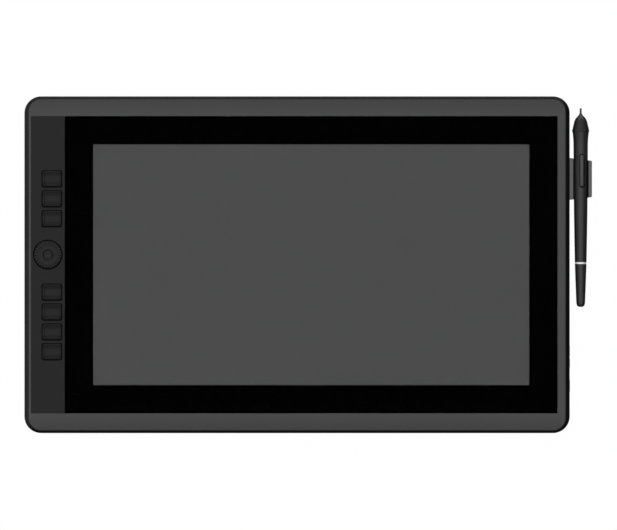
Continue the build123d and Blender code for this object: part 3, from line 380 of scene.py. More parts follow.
def blend_shaders(tree, factor, first, second):
    """End a material in a mix of two shaders."""
    mix = tree.nodes.new("ShaderNodeMixShader")
    tree.links.new(factor, mix.inputs["Fac"])
    tree.links.new(first, mix.inputs[1])
    tree.links.new(second, mix.inputs[2])
    tree.links.new(mix.outputs["Shader"], tree.nodes["Material Output"].inputs["Surface"])


def shade(colour, factor):
    """A colour made darker or paler."""
    return tuple(min(1.0, channel * factor) for channel in colour)


def mottle(tree, texture, colour, darkest, palest):
    """A colour that a noise texture makes a little darker and paler."""
    tone = spread(tree, texture, 0.0, 1.0)
    return blend_colours(tree, tone, shade(colour, darkest), shade(colour, palest))


def bump(tree, shader, height, depth):
    """Relief on a surface: a height socket, and how deep it goes, in metres."""
    node = tree.nodes.new("ShaderNodeBump")
    node.inputs["Distance"].default_value = depth
    tree.links.new(height, node.inputs["Height"])
    tree.links.new(node.outputs["Normal"], shader.inputs["Normal"])


def finish_surface(tree, shader, base, gloss, height, depth):
    """Give a surface its colour and roughness sockets, and its relief."""
    tree.links.new(base, shader.inputs["Base Color"])
    tree.links.new(gloss, shader.inputs["Roughness"])
    bump(tree, shader, height, depth)


def worn_edges(tree, radius, amount):
    """The amount on sharp outer edges and nothing on flats, from how the normal rounds off."""
    rounded = tree.nodes.new("ShaderNodeBevel")
    rounded.samples = 4
    rounded.inputs["Radius"].default_value = radius
    plain = tree.nodes.new("ShaderNodeNewGeometry")
    product = tree.nodes.new("ShaderNodeVectorMath")
    product.operation = "DOT_PRODUCT"
    tree.links.new(rounded.outputs["Normal"], product.inputs[0])
    tree.links.new(plain.outputs["Normal"], product.inputs[1])
    return remap(tree, product.outputs["Value"], 0.98, 0.8, 0.0, amount)


# Materials

def moulding(
    name, colour, roughness, grain=0.3 * mm, relief=0.006 * mm, specular=0.5, worn=0.0,
    shade_below_height=None, painted_shade_keep=0.0, scoop_shade_share=0.0,
):
    """Moulded plastic: fine spark-eroded grain, faint handling marks, polished edges.

    Below a given height, down in the gaps, its colour is painted dark and its shine dulled,
    a painted shade of the gaps, and it keeps a given share of its look there. Where the
    mesh's attribute is low, towards the rising ends of a key's scoop, its colour is painted
    darker by a given share: a painted shade of those ends.
    """
    mark_size = 35 * mm
    edge_width = 0.35 * mm
    gap_blend = 0.5 * mm
    gloss_change = 0.04
    material, tree, shader = new_material(name, colour, roughness, specular=specular)
    marks = noise(tree, mark_size, 4.0)
    base = mottle(tree, marks, colour, 0.94, 1.06)
    if worn:
        base = blend_colours(tree, worn_edges(tree, edge_width, worn), base, shade(colour, 2.2))
    # Painted shade: darker towards the rising ends of a key's scoop, where its attribute falls off
    if scoop_shade_share:
        scoop_light = tree.nodes.new("ShaderNodeAttribute")
        scoop_light.attribute_name = "scoop_light"
        scoop_shade = remap(tree, scoop_light.outputs["Fac"], 0.0, 1.0, scoop_shade_share, 0.0)
        base = blend_colours(tree, scoop_shade, base, (0.0, 0.0, 0.0))
    # Painted shade: below the given height, in the gaps round keys and dial, the colour is painted
    # dark and the shine dulled
    if shade_below_height:
        height = axis_of(tree, own_place(tree), "Z")
        unshaded = remap(tree, height, shade_below_height - gap_blend, shade_below_height, painted_shade_keep, 1.0)
        base = blend_colours(tree, unshaded, shade(colour, 0.15), base)
        shine = arithmetic(tree, "MULTIPLY", unshaded, specular)
        tree.links.new(shine, shader.inputs["Specular IOR Level"])
    gloss = spread(tree, marks, roughness - gloss_change, roughness + gloss_change)
    finish_surface(tree, shader, base, gloss, noise(tree, grain, 3.0), relief)
    return material


def anodised(name, colour, roughness, metallic, worn, painted_shade_span=None):
    """Anodised metal: a fine blasted grain, slow cloudiness and brighter edges.

    Given two distances along Y from the middle, the colour is painted darker outwards between
    them: a painted shade of the ends, which fall away from the light.
    """
    cloud_size = 60 * mm
    grain_size = 0.18 * mm
    relief = 0.003 * mm
    edge_width = 0.3 * mm
    gloss_change = 0.05
    material, tree, shader = new_material(name, colour, roughness, metallic)
    base = mottle(tree, noise(tree, cloud_size, 3.0), colour, 0.97, 1.03)
    # Painted shade: darker outwards along Y, towards the ends where the band falls away from the
    # light
    if painted_shade_span:
        outwards = arithmetic(tree, "ABSOLUTE", axis_of(tree, own_place(tree), "Y"), 0.0)
        outer_shade = remap(tree, outwards, painted_shade_span[0], painted_shade_span[1], 0.0, 1.0)
        base = blend_colours(tree, outer_shade, base, shade(colour, 0.78))
    base = blend_colours(tree, worn_edges(tree, edge_width, worn), base, shade(colour, 1.8))
    grains = noise(tree, grain_size, 2.0)
    gloss = spread(tree, grains, roughness - gloss_change, roughness + gloss_change)
    finish_surface(tree, shader, base, gloss, grains, relief)
    return material


def rubber(name, colour):
    """Rubber: dull, a little dusty in its grain."""
    dust_size = 1.2 * mm
    grain_size = 0.4 * mm
    relief = 0.02 * mm
    material, tree, shader = new_material(name, colour, 0.8, specular=0.3)
    dust = noise(tree, dust_size, 5.0)
    dusty = remap(tree, dust, 0.45, 0.75, 0.0, 0.5)
    base = blend_colours(tree, dusty, colour, shade(colour, 1.8))
    grains = noise(tree, grain_size, 3.0)
    finish_surface(tree, shader, base, spread(tree, dust, 0.7, 0.9), grains, relief)
    return material


def brushed(name, colour, roughness, along=(30, 1, 1)):
    """Drawn or brushed sheet metal: fine scratches, made longer by along on each axis."""
    scratch_width = 0.15 * mm
    relief = 0.002 * mm
    gloss_change = 0.08
    material, tree, shader = new_material(name, colour, roughness, 1.0)
    scratches = noise(tree, scratch_width, 3.0, along)
    base = mottle(tree, scratches, colour, 0.85, 1.1)
    gloss = spread(tree, scratches, roughness - gloss_change, roughness + gloss_change)
    finish_surface(tree, shader, base, gloss, scratches, relief)
    return material


def circuit_board(name, colour):
    """A lacquered board: copper tracks that show through as paler lines."""
    track_length = 3 * mm
    track_width_share = 0.08
    patch_size = 4 * mm
    relief = 0.01 * mm
    material, tree, shader = new_material(name, colour, 0.35)
    bricks = tree.nodes.new("ShaderNodeTexBrick")
    bricks.inputs["Scale"].default_value = 1.0
    bricks.inputs["Mortar Size"].default_value = track_width_share
    bricks.inputs["Color1"].default_value = (*colour, 1)
    bricks.inputs["Color2"].default_value = (*shade(colour, 0.8), 1)
    bricks.inputs["Mortar"].default_value = (*shade(colour, 2.4), 1)
    tree.links.new(scaled_place(tree, track_length), bricks.inputs["Vector"])
    gloss = spread(tree, noise(tree, patch_size), 0.28, 0.42)
    finish_surface(tree, shader, bricks.outputs["Color"], gloss, bricks.outputs["Fac"], relief)
    return material


def film(name, colour, roughness, line=1.0 * mm):
    """A thin film or ribbon: even conductors under a smooth face."""
    patch_size = 3 * mm
    relief = 0.004 * mm
    material, tree, shader = new_material(name, colour, roughness)
    waves = tree.nodes.new("ShaderNodeTexWave")
    waves.inputs["Scale"].default_value = 1 / (2 * line)
    tree.links.new(own_place(tree), waves.inputs["Vector"])
    bands = remap(tree, waves.outputs["Fac"], 0.4, 0.6, 0.0, 1.0)
    base = blend_colours(tree, bands, shade(colour, 0.7), colour)
    gloss = spread(tree, noise(tree, patch_size), roughness - 0.05, roughness + 0.08)
    finish_surface(tree, shader, base, gloss, waves.outputs["Fac"], relief)
    return material


def etched_glass():
    """Anti-glare glass: clear, with a finely etched face. Lamps reach what is under it."""
    etch_size = 0.12 * mm
    relief = 0.0004 * mm
    material, tree, shader = new_material("cover_glass", (1.0, 1.0, 1.0), 0.05, specular=0.1)
    shader.inputs["Transmission Weight"].default_value = 1.0
    shader.inputs["IOR"].default_value = 1.45
    etch = noise(tree, etch_size)
    tree.links.new(spread(tree, etch, 0.02, 0.035), shader.inputs["Roughness"])
    bump(tree, shader, etch, relief)
    clear = tree.nodes.new("ShaderNodeBsdfTransparent")
    clear.inputs["Color"].default_value = (0.96, 0.96, 0.96, 1)
    shadow = tree.nodes.new("ShaderNodeLightPath").outputs["Is Shadow Ray"]
    blend_shaders(tree, shadow, shader.outputs["BSDF"], clear.outputs["BSDF"])
    return material


def unlit_screen():
    """The screen when it is off: an even dark grey with the finest pixel grain."""
    colour = (0.0925, 0.0925, 0.0925)
    grain_size = 0.3 * mm
    patch_size = 50 * mm
    relief = 0.0005 * mm
    material, tree, shader = new_material("unlit_screen", colour, 0.6, specular=0.1)
    grains = noise(tree, grain_size, 1.0)
    base = mottle(tree, grains, colour, 0.98, 1.02)
    gloss = spread(tree, noise(tree, patch_size), 0.55, 0.65)
    finish_surface(tree, shader, base, gloss, grains, relief)
    return material


# Front face

def make_front_frame(material):
    """The metal frame: flat bands that fall away a little towards its front and rear ends."""
    fall = 0.36 * mm
    fall_length = 12 * mm
    edge = 0.3 * mm
    corner = 9.9 * mm
    opening_gap = 0.05 * mm
    band_steps = 16
    centre = middle(frame_low, frame_high)
    half_width, half_depth = halves(frame_low, frame_high)
    opening_low = Vector((panel_low.x, glass_low.y))
    opening_half_width, opening_half_depth = halves(opening_low, glass_high)

    def outline(inset):
        return rounded_rectangle(
            centre, half_width - inset, half_depth - inset, corner - inset, 12, 6
        )

    def crown(y):
        share = held(1 - min(frame_high.y - y, y - frame_low.y) / fall_length)
        return face_z - fall * share * share

    opening = rounded_rectangle(
        middle(opening_low, glass_high), opening_half_width + opening_gap,
        opening_half_depth + opening_gap, glass_corner, 12, 6,
    )
    rings = [at_height(opening, frame_low.z), at_height(outline(0), frame_low.z)]
    rings.append([(x, y, crown(y) - edge) for x, y in outline(0)])
    for inset, drop in quarter_round(edge, 5):
        rings.append([(x, y, crown(y) - drop) for x, y in outline(inset)])
    flat = outline(edge)
    for step in range(1, band_steps + 1):
        points = [between(near, far, step / band_steps) for near, far in zip(flat, opening)]
        rings.append([(x, y, crown(y)) for x, y in points])
    piece = new_object("front_frame_metal", *loft(rings, joined=True))
    stand_for(piece, "front_frame", material)


def make_key_panel(material):
    """The matte panel with an opening for each key and one for the dial."""
    flange_cover = 0.6 * mm
    key_opening_corner = 1.9 * mm
    dial_opening_radius = 11.8 * mm
    edge = 0.2 * mm
    centre = middle(panel_low, panel_high)
    outlines = [rounded_rectangle(centre, *halves(panel_low, panel_high), glass_corner, 4)]
    for number in key_numbers:
        low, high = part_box(f"express_key_{number}")
        half_width, half_depth = halves(low, high)
        outlines.append(
            rounded_rectangle(
                middle(low, high), half_width - flange_cover, half_depth - flange_cover,
                key_opening_corner,
            )
        )
    outlines.append(circle(middle(dial_low, dial_high), dial_opening_radius, 96))
    piece = plate("key_panel_moulding", outlines, panel_low.z, panel_high.z)
    round_edges(piece, edge)
    stand_for(piece, "key_panel", material)


def make_key(number, material):
    """A key cap: rounded edges and a scooped top that ends short of both sides.

    It stands on a post, and its flange reaches under the panel. The scoop is flat in the
    middle; an attribute marks that middle, and the colour is painted darker towards the
    scoop's rising ends, a painted shade.
    """
    node = f"express_key_{number}"
    low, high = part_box(node)
    centre = middle(low, high)
    flange_half_width, flange_half_depth = halves(low, high)
    step_in = 1.3 * mm
    half_width = flange_half_width - step_in
    half_depth = flange_half_depth - step_in
    corner = 1.7 * mm
    edge = 0.9 * mm
    post_length = 1.2 * mm
    post_radius = 1.5 * mm
    flange_thickness = 0.8 * mm
    scoop = 0.45 * mm
    scoop_end = 1.9 * mm
    scoop_end_width = 0.35 * mm
    scoop_flat = 1.8 * mm
    scoop_half_depth = 5.9 * mm
    scoop_light_fade = 1.2 * mm
    top_steps = 22

    def outline(width, depth, radius):
        return rounded_rectangle(centre, width, depth, radius, 6, 8)

    def scoop_depth(x, y):
        across = held((half_width - scoop_end - abs(x - centre[0])) / scoop_end_width + 0.5)
        eased = across * across * (3 - 2 * across)
        rise = max(0.0, abs(y - centre[1]) - scoop_flat) / (scoop_half_depth - scoop_flat)
        return scoop * eased * max(0.0, 1 - rise * rise)

    cap = outline(half_width, half_depth, corner)
    flange = outline(flange_half_width, flange_half_depth, corner)
    post = [
        between(centre, (x, y), post_radius / hypot(x - centre[0], y - centre[1])) for x, y in cap
    ]
    flange_low = low.z + post_length
    flange_high = flange_low + flange_thickness
    rings = [
        at_height(post, low.z), at_height(post, flange_low), at_height(flange, flange_low),
        at_height(flange, flange_high), at_height(cap, flange_high), at_height(cap, high.z - edge),
    ]
    for inset, drop in quarter_round(edge, 4):
        ring = outline(half_width - inset, half_depth - inset, corner - inset)
        rings.append(at_height(ring, high.z - drop))
    top = outline(half_width - edge, half_depth - edge, corner - edge)
    for step in range(1, top_steps):
        points = [between(centre, point, 1 - step / top_steps) for point in top]
        rings.append([(x, y, high.z - scoop_depth(x, y)) for x, y in points])
    piece = new_object(f"express_key_cap_{number}", *loft(rings), key_sharp_angle)
    # The attribute is 1 in the scoop's flat middle and falls to 0 towards its ends, where the
    # colour is painted darker: painted shade
    scoop_light = piece.data.attributes.new("scoop_light", "FLOAT", "POINT")
    for vertex, value in zip(piece.data.vertices, scoop_light.data):
        from_middle = abs(vertex.co.y - centre[1])
        value.value = held((scoop_flat + scoop_light_fade - from_middle) / scoop_light_fade)
    stand_for(piece, node, material)


def turned(centre, profile, steps, lift=None):
    """Rings about an upright axis, from (radius, height) points, whose heights lift changes."""
    rings = []
    for radius, height in profile:
        ring = []
        for step in range(steps):
            angle = 2 * pi * step / steps
            x = centre[0] + radius * cos(angle)
            y = centre[1] + radius * sin(angle)
            ring.append((x, y, lift(radius, height, angle) if lift else height))
        rings.append(ring)
    return rings


def make_dial(material):
    """The dial: a dished disc whose bevelled rim is cut into fine ridges."""
    top = dial_high.z
    bottom = dial_low.z
    flange = halves(dial_low, dial_high)[0]
    flange_thickness = 0.8 * mm
    rim = 10.9 * mm
    rim_height = 2.65 * mm
    hub = 5.6 * mm
    bore = 3.85 * mm
    bore_edge = [(0.2 * mm, 0.05 * mm), (0.0, 0.3 * mm)]
    edge = 0.4 * mm
    bevel_fall = 0.15 * mm
    bevel_steps = 8
    dish = 0.3 * mm
    dish_end = 0.7 * mm
    dish_steps = 14
    dish_fall_share = 0.2
    dish_rise_share = 0.1
    ridge_count = 28
    ridge_depth = 0.35 * mm
    ridge_start = 8.3 * mm
    ridge_end = 10.4 * mm
    ridge_inner_reach = 0.05 * mm
    ridge_outer_reach = 0.3 * mm
    ridge_run_in = 0.3 * mm
    ridged_height = 0.7 * mm
    steps_per_ridge = 8
    flange_high = top - rim_height
    flange_low = flange_high - flange_thickness

    profile = [(bore, bottom), (hub, bottom), (hub, flange_low), (flange, flange_low)]
    profile += [(flange, flange_high), (rim, flange_high), (rim, top - bevel_fall - edge)]
    profile += [(rim - inset, top - bevel_fall - drop) for inset, drop in quarter_round(edge, 5)]
    for step in range(1, bevel_steps + 1):
        share = step / bevel_steps
        radius = ridge_end - (ridge_end - ridge_start) * share
        profile.append((radius, top - bevel_fall * (1 - share)))
    for step in range(1, dish_steps + 1):
        share = step / dish_steps
        radius = ridge_start - (ridge_start - bore - dish_end) * share
        sunk = dish * min(1.0, share / dish_fall_share, (1 - share) / dish_rise_share)
        profile.append((radius, top - sunk))
    profile += [(bore + outwards, top - drop) for outwards, drop in bore_edge]

    def ridged(radius, height, angle):
        inside = radius - ridge_start + ridge_inner_reach
        if inside <= 0 or radius >= ridge_end + ridge_outer_reach or height <= top - ridged_height:
            return height
        wave = max(0.0, -cos(ridge_count * angle))
        return height - ridge_depth * wave * held(inside / ridge_run_in)

    centre = middle(dial_low, dial_high)
    rings = turned(centre, profile, ridge_count * steps_per_ridge, ridged)
    piece = new_object("dial_wheel_knurled", *loft(rings, joined=True))
    stand_for(piece, "dial", material)


def make_dial_button(material):
    """The push button in the dial: a dished cap on its stem."""
    low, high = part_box("dial_button")
    radius = halves(low, high)[0]
    stem = 1.3 * mm
    cap_height = 2.5 * mm
    edge = 0.35 * mm
    dish = 0.22 * mm
    dish_steps = 12
    cap_low = high.z - cap_height
    profile = [(stem, low.z), (stem, cap_low), (radius, cap_low), (radius, high.z - edge)]
    profile += [(radius - inset, high.z - drop) for inset, drop in quarter_round(edge, 5)]
    for step in range(1, dish_steps):
        share = 1 - step / dish_steps
        profile.append(((radius - edge) * share, high.z - dish * (1 - share * share)))
    piece = new_object("dial_button_cap", *loft(turned(middle(low, high), profile, 64)))
    stand_for(piece, "dial_button", material)


def make_cover_glass(material):
    """The glass pane, with a fine ground edge."""
    edge = 0.08 * mm
    centre = middle(glass_low, glass_high)
    outline = rounded_rectangle(centre, *halves(glass_low, glass_high), glass_corner, 4)
    piece = plate("cover_glass_pane", [outline], glass_low.z, glass_high.z)
    round_edges(piece, edge)
    stand_for(piece, "cover_glass", material)


def make_black_border(material):
    """The black printed behind the glass, a hair below it, open over the screen."""
    low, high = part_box("black_border")
    hair = 0.02 * mm
    cell_margin = 5 * mm
    screen_corner = 0.2 * mm
    half_width, half_depth = halves(cell_low, cell_high)
    outer = rounded_rectangle(middle(low, high), *halves(low, high), glass_corner, 4)
    inner = rounded_rectangle(
        middle(cell_low, cell_high), half_width - cell_margin, half_depth - cell_margin,
        screen_corner, 2,
    )
    piece = plate("black_border_print", [outer, inner], low.z + hair, high.z - hair)
    stand_for(piece, "black_border", material)


# Pen. Its profiles are (distance from the tip, radius) points, written in millimetres.

def along_pen(stations):
    """Stations in millimetres, in metres."""
    return [(distance * mm, radius * mm) for distance, radius in stations]


def pen_turned(profile, steps=96):
    """Rings of a turned pen piece, from (distance from the tip, radius) points in metres."""
    rings = []
    for distance, radius in profile:
        y = pen_tip_y - distance
        rings.append([(x, y, z) for x, z in circle((pen_x, pen_z), radius, steps)])
    return rings


def smooth(points, steps=8):
    """A curve through points, with each stretch divided into steps."""
    curve = []
    for index in range(len(points) - 1):
        before = points[max(0, index - 1)]
        start, end = points[index], points[index + 1]
        after = points[min(len(points) - 1, index + 2)]
        for step in range(steps):
            t = step / steps
            point = []
            for a, b, c, d in zip(before, start, end, after):
                bend = (2 * a - 5 * b + 4 * c - d) * t * t + (3 * b - a - 3 * c + d) * t * t * t
                point.append(0.5 * (2 * b + (c - a) * t + bend))
            curve.append(tuple(point))
    curve.append(tuple(points[-1]))
    return curve


def rolled(across, y, height):
    """A point of the button or its slot, turned about the pen's axis as the pen lies."""
    x = pen_x + across * cos(button_roll) + height * sin(button_roll)
    z = pen_z - across * sin(button_roll) + height * cos(button_roll)
    return (x, y, z)


def make_pen_nose(material):
    """The nose cone, with a hole for the nib and a spigot that goes into the barrel."""
    front = 4.3
    nib_hole = 0.92
    nib_hole_end = 8.0
    back = 17.92
    back_radius = 6.74
    spigot = 4.6
    spigot_end = 20.0
    bore = 3.5
    cone = [
        (front, 1.15), (5.3, 1.45), (6.8, 2.75), (8.2, 4.0), (10.7, 5.1), (13.1, 5.7),
        (14.8, 6.08), (17.85, 6.8),
    ]
    inside = [
        (back, back_radius), (back, spigot), (spigot_end, spigot), (spigot_end, bore),
        (nib_hole_end, bore),
    ]
    profile = along_pen([(nib_hole_end, nib_hole), (front, nib_hole)])
    profile += smooth(along_pen(cone)) + along_pen(inside)
    rings = pen_turned(profile)
    piece = new_object("pen_nose_moulding", *loft(rings, joined=True), pen_sharp_angle)
    stand_for(piece, "pen_nose_cone", material)


def make_slot_cutter():
    """The solid that the button's slot takes out of the barrel."""
    side_gap = 0.25 * mm
    end_gap = 0.3 * mm
    floor_height = 1.8 * mm
    top_height = 9 * mm
    half_width = button_half_width + side_gap
    half_length = (button_high.y - button_low.y) / 2 + end_gap
    centre = (0.0, (button_low.y + button_high.y) / 2)
    outline = rounded_rectangle(centre, half_width, half_length, half_width * round_end_share)
    heights = (floor_height, top_height)
    rings = [[rolled(x, y, height) for x, y in outline] for height in heights]
    return new_object("slot_cutter", *loft(rings))


def make_pen_barrel(material):
    """The barrel: a raised collar behind the nose, a long taper, a slot for the button."""
    front = 17.95
    front_radius = 6.74
    collar_end = (18.3, 6.84)
    spigot_hole = 4.65
    spigot_hole_end = 20.1
    bore = 3.6
    rear_bore = 3.55
    rear_bore_start = 110.0
    rear = 122.6
    rear_radius = 4.55
    collar = [(front, front_radius), (18.0, 6.84), (18.15, 6.88), collar_end]
    taper = [
        collar_end, (19.3, 6.52), (21.0, 6.24), (22.7, 6.08), (24.4, 5.9), (26.4, 5.8),
        (30.0, 5.74), (37.5, 5.7), (55.0, 5.6), (73.3, 5.45), (85.2, 5.33), (105.1, 5.0),
        (122.5, 4.67),
    ]
    inside = [
        (rear, rear_radius), (rear, rear_bore), (rear_bore_start, rear_bore),
        (rear_bore_start, bore), (spigot_hole_end, bore), (spigot_hole_end, spigot_hole),
        (front, spigot_hole),
    ]
    profile = along_pen(collar) + smooth(along_pen(taper)) + along_pen(inside)
    rings = pen_turned(profile, 128)
    piece = new_object("pen_barrel_moulding", *loft(rings, joined=True), pen_sharp_angle)
    cut_out(piece, make_slot_cutter())
    piece.data.set_sharp_from_angle(angle=radians(pen_sharp_angle))
    stand_for(piece, "pen_barrel", material)


def make_pen_button(material):
    """The rocker: a long ridge with sloping flanks and a narrow flat back."""
    flank_foot = 5.0 * mm
    flank_width = 1.0 * mm
    back = 6.1 * mm
    edge = 0.12 * mm
    half_length = (button_high.y - button_low.y) / 2
    centre = (0.0, (button_low.y + button_high.y) / 2)
    levels = [
        (0.0, button_low.z - pen_z), (0.0, flank_foot - edge), (0.3 * edge, flank_foot),
        (flank_width, back - edge), (flank_width + 0.4 * edge, back - 0.25 * edge),
        (flank_width + edge, back),
    ]
    rings = []
    for inset, height in levels:
        half_width = button_half_width - inset
        ring = rounded_rectangle(
            centre, half_width, half_length - inset, half_width * round_end_share, 10, 12
        )
        rings.append([rolled(x, y, height) for x, y in ring])
    piece = new_object("pen_rocker_bar", *loft(rings))
    stand_for(piece, "pen_button", material)


def make_pen_ring(material):
    """The metal band between barrel and tail."""
    low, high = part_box("pen_ring")
    radius = halves(low, high)[0]
    start = pen_tip_y - high.y
    end = pen_tip_y - low.y
    bore = 3.55 * mm
    edge = 0.12 * mm
    profile = [
        (start, radius - edge), (start + edge, radius), (end - edge, radius), (end, radius - edge),
        (end, bore), (start, bore),
    ]
    piece = new_object("pen_ring_band", *loft(pen_turned(profile), joined=True))
    stand_for(piece, "pen_ring", material)


def make_pen_tail(material):
    """The tail cap, with a spigot that goes through the ring into the barrel."""
    spigot = 3.5
    spigot_start = 113.2
    front = 124.2
    front_radius = 4.5
    tail = [
        (124.3, 4.63), (128.9, 4.48), (136.8, 4.2), (144.8, 3.9), (151.0, 3.66), (155.2, 3.45),
        (157.2, 2.9), (158.1, 1.8), (158.29, 0.6),
    ]
    profile = along_pen([(spigot_start, spigot), (front, spigot), (front, front_radius)])
    profile += smooth(along_pen(tail))
    piece = new_object("pen_tail_moulding", *loft(pen_turned(profile)), pen_sharp_angle)
    stand_for(piece, "pen_tail_cap", material)


def make_nib(material):
    """The nib: a rod with a rounded point."""
    radius = 0.8
    rod_end = 24.6
    stations = [
        (0.0, 0.12), (0.12, 0.42), (0.45, 0.66), (1.0, 0.76), (2.0, radius), (rod_end, radius),
    ]
    piece = new_object("pen_nib_rod", *loft(pen_turned(smooth(along_pen(stations), 4), 32)))
    stand_for(piece, "pen_nib", material)


# Camera, light and floor

def make_camera():
    """A long lens straight above, framed as the photograph is."""
    data = bpy.data.cameras.new("camera")
    data.lens = lens
    data.sensor_width = sensor_width
    data.clip_end = camera_reach
    distance = photo_width_px * pixel * lens / sensor_width
    camera = bpy.data.objects.new("camera", data)
    body_middle = (cover_low + cover_high) / 2
    camera.location = (
        body_middle.x + (photo_width_px / 2 - body_middle_px[0]) * pixel,
        body_middle.y + (body_middle_px[1] - photo_height_px / 2) * pixel,
        face_z + distance,
    )
    bpy.context.scene.collection.objects.link(camera)
    bpy.context.scene.camera = camera


def make_world():
    """A soft dome, brightest overhead but for a small dark gap, and low walls rear and left.

    Where nothing stands, the camera sees plain white.
    """
    world = bpy.data.worlds.new("studio")
    world.use_nodes = True
    bpy.context.scene.world = world
    tree = world.node_tree
    background = tree.nodes["Background"]
    direction = tree.nodes.new("ShaderNodeTexCoord").outputs["Generated"]
    rearwards = axis_of(tree, direction, "Y")
    rightwards = axis_of(tree, direction, "X")
    up = axis_of(tree, direction, "Z")
    rear = remap(tree, rearwards, wall_end, wall_full, dark_wall_level, rear_wall_level)
    left = remap(tree, rightwards, -wall_full, -wall_end, left_wall_level, 0.0)
    low_down = remap(tree, up, wall_top - wall_top_fade, wall_top, 1.0, 0.0)
    walls = arithmetic(tree, "MULTIPLY", arithmetic(tree, "ADD", rear, left), low_down)
    raised = remap(tree, up, 0.0, 1.0, 0.0, 1.0)
    dome = arithmetic(tree, "MULTIPLY", arithmetic(tree, "POWER", raised, dome_gather), dome_level)
    outside_gap = remap(tree, up, cos(gap_outer), cos(gap_inner), 1.0, 0.0)
    level = arithmetic(tree, "ADD", arithmetic(tree, "MULTIPLY", dome, outside_gap), walls)
    shown = tree.nodes.new("ShaderNodeMix")
    path = tree.nodes.new("ShaderNodeLightPath")
    tree.links.new(path.outputs["Is Camera Ray"], shown.inputs["Factor"])
    tree.links.new(level, shown.inputs["A"])
    shown.inputs["B"].default_value = 1.0
    tree.links.new(shown.outputs["Result"], background.inputs["Strength"])
    background.inputs["Color"].default_value = (1, 1, 1, 1)


def make_lamp():
    """A soft square lamp, up at the rear left, that faces the tablet's middle."""
    data = bpy.data.lights.new("key_lamp", "AREA")
    data.shape = "SQUARE"
    data.size = lamp_size
    data.energy = lamp_power
    lamp = bpy.data.objects.new("key_lamp", data)
    lamp.location = lamp_place
    lamp.rotation_euler = (-Vector(lamp_place)).to_track_quat("-Z", "Y").to_euler()
    bpy.context.scene.collection.objects.link(lamp)


def make_floor():
    """A white floor that keeps a faint shadow."""
    sides = ((-1, -1), (1, -1), (1, 1), (-1, 1))
    corners = [(x * floor_half, y * floor_half, -floor_drop) for x, y in sides]
    mesh = bpy.data.meshes.new("floor")
    mesh.from_pydata(corners, [], [(0, 1, 2, 3)])
    floor = bpy.data.objects.new("floor", mesh)
    bpy.context.scene.collection.objects.link(floor)
    material, tree, shader = new_material("floor", floor_grey, 0.9, specular=0.0)
    white = tree.nodes.new("ShaderNodeEmission")
    white.inputs["Color"].default_value = (1, 1, 1, 1)
    white.inputs["Strength"].default_value = floor_white_level
    path = tree.nodes.new("ShaderNodeLightPath")
    share = arithmetic(tree, "MULTIPLY", path.outputs["Is Camera Ray"], floor_white_share)
    blend_shaders(tree, share, shader.outputs["BSDF"], white.outputs["Emission"])
    mesh.materials.append(material)


make_camera()
make_world()
make_lamp()
make_floor()
bpy.context.scene.view_settings.view_transform = "Standard"

# The finishes
# Below this height, in the gaps round keys and dial, the mouldings are painted dark: painted shade
painted_shade_top = face_z - painted_shade_depth
cover_black = moulding("cover_black", (0.002, 0.002, 0.0022), 0.4, specular=0.29)
panel_black = moulding(
    "panel_black", (0.0177, 0.0177, 0.0182), 0.6, specular=0.15,
    shade_below_height=painted_shade_top, painted_shade_keep=0.3,
)
# The keys are also painted darker towards the ends of each scoop: painted shade
key_black = moulding(
    "key_black", (0.0138, 0.0138, 0.0143), 0.45, specular=0.15,
    shade_below_height=painted_shade_top, painted_shade_keep=0.45, scoop_shade_share=0.62,
)
dial_black = moulding(
    "dial_black", (0.013, 0.013, 0.0135), 0.4, specular=0.17, shade_below_height=painted_shade_top
)
# The frame's colour is painted darker towards its front and rear ends: painted shade
frame_grey = anodised(
    "frame_grey", (0.056, 0.056, 0.0575), 0.4, metallic=0.9, worn=0.2, painted_shade_span=(painted_shade_start, painted_shade_end)
)
holder_grey = anodised("holder_grey", (0.101, 0.101, 0.103), 0.45, metallic=0.7, worn=0.2)
ring_champagne = anodised("ring_champagne", (0.96, 0.92, 0.84), 0.4, metallic=0.15, worn=0.1)
pen_black = moulding(
    "pen_black", (0.015, 0.015, 0.0155), 0.4, grain=0.15 * mm, relief=0.002 * mm
)
pen_nose_black = moulding(
    "pen_nose_black", (0.0145, 0.0145, 0.0149), 0.4, grain=0.15 * mm, relief=0.002 * mm,
    specular=0.3,
)
pen_button_black = moulding(
    "pen_button_black", (0.034, 0.034, 0.0344), 0.35, grain=0.2 * mm, relief=0.002 * mm,
    specular=0.6,
)
nib_grey = moulding("nib_grey", (0.05, 0.05, 0.05), 0.4, grain=0.2 * mm, relief=0.002 * mm)
leg_black = moulding("leg_black", (0.014, 0.014, 0.015), 0.5, worn=0.2)
side_button_black = moulding("side_button_black", (0.010, 0.010, 0.011), 0.45, worn=0.25)
border_black = moulding(
    "border_black", (0.0006, 0.0006, 0.0006), 0.6, grain=0.5 * mm, relief=0.0002 * mm,
    specular=0.0,
)
tape_black = moulding(
    "tape_black", (0.01, 0.01, 0.01), 0.9, grain=0.6 * mm, relief=0.02 * mm, specular=0.2
)
chip_black = moulding("chip_black", (0.015, 0.015, 0.016), 0.6)
ferrite_grey = moulding(
    "ferrite_grey", (0.06, 0.06, 0.065), 0.7, grain=0.5 * mm, relief=0.01 * mm
)
diffuser_white = moulding(
    "diffuser_white", (0.85, 0.85, 0.85), 0.7, grain=0.8 * mm, relief=0.003 * mm
)
guide_clear = moulding(
    "guide_clear", (0.8, 0.82, 0.83), 0.15, grain=1.5 * mm, relief=0.002 * mm
)
led_white = film("led_white", (0.8, 0.8, 0.7), 0.5, line=4 * mm)
ribbon_amber = film("ribbon_amber", (0.45, 0.2, 0.04), 0.35)
coil_copper = film("coil_copper", (0.6, 0.25, 0.1), 0.35, line=0.2 * mm)
sheet_metal = brushed("sheet_metal", (0.45, 0.45, 0.46), 0.35)
socket_steel = brushed("socket_steel", (0.5, 0.5, 0.5), 0.3)
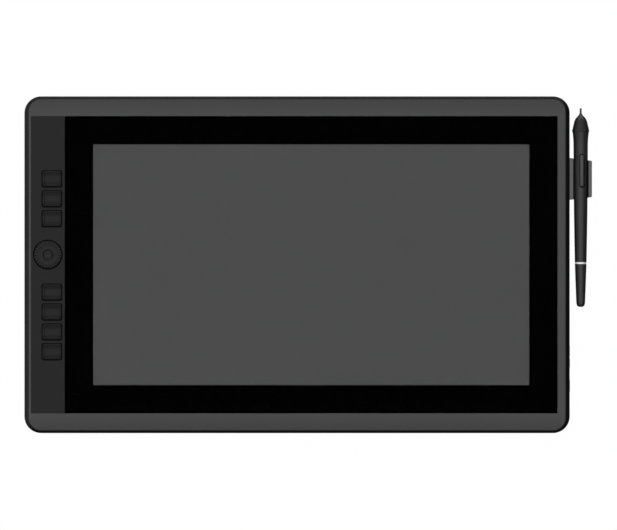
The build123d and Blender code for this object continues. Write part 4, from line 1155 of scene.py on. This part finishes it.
screw_black = brushed("screw_black", (0.05, 0.05, 0.05), 0.4, along=(1, 1, 1))
board_green = circuit_board("board_green", (0.01, 0.08, 0.035))
foot_rubber = rubber("foot_rubber", (0.03, 0.03, 0.03))
cover_glass = etched_glass()
screen_grey = unlit_screen()

# The pieces that stand for CAD nodes
make_front_frame(frame_grey)
make_key_panel(panel_black)
for number in key_numbers:
    make_key(number, key_black)
make_dial(dial_black)
make_dial_button(dial_black)
make_cover_glass(cover_glass)
make_black_border(border_black)
make_pen_nose(pen_nose_black)
make_pen_barrel(pen_black)
make_pen_button(pen_button_black)
make_pen_ring(ring_champagne)
make_pen_tail(pen_black)
make_nib(nib_grey)

# The CAD nodes that stay, and the rounding of those that have one
dressed = {
    "rear_cover": cover_black,
    "pen_holder": holder_grey,
    "lcd_cell": screen_grey,
    "glass_tape": tape_black,
    "diffuser_sheet": diffuser_white,
    "light_guide": guide_clear,
    "led_strip": led_white,
    "lcd_tray": sheet_metal,
    "shield_plate": sheet_metal,
    "digitizer_board": board_green,
    "main_board": board_green,
    "key_board": board_green,
    "pen_circuit_board": board_green,
    "board_chips": chip_black,
    "key_switches": chip_black,
    "dial_encoder": chip_black,
    "dial_switch": chip_black,
    "side_switches": chip_black,
    "usb_tongues": chip_black,
    "pen_pressure_sensor": chip_black,
    "usb_socket_upper": socket_steel,
    "usb_socket_lower": socket_steel,
    "leg_hinge_pins": socket_steel,
    "display_ribbon": ribbon_amber,
    "digitizer_ribbon": ribbon_amber,
    "key_ribbon": ribbon_amber,
    "case_screws": screw_black,
    "tray_screws": screw_black,
    "board_screws": screw_black,
    "rubber_feet": foot_rubber,
    "left_leg_tip": foot_rubber,
    "right_leg_tip": foot_rubber,
    "left_leg": leg_black,
    "right_leg": leg_black,
    "brightness_up_button": side_button_black,
    "brightness_down_button": side_button_black,
    "power_button": side_button_black,
    "pen_ferrite": ferrite_grey,
    "pen_coil": coil_copper,
}
rounding = {
    "pen_holder": 0.25 * mm,
    "left_leg": 0.2 * mm,
    "right_leg": 0.2 * mm,
    "board_chips": 0.1 * mm,
    "key_switches": 0.1 * mm,
    "dial_encoder": 0.1 * mm,
    "side_switches": 0.1 * mm,
}
for node, material in dressed.items():
    dress(node, material, rounding.get(node, 0.0))
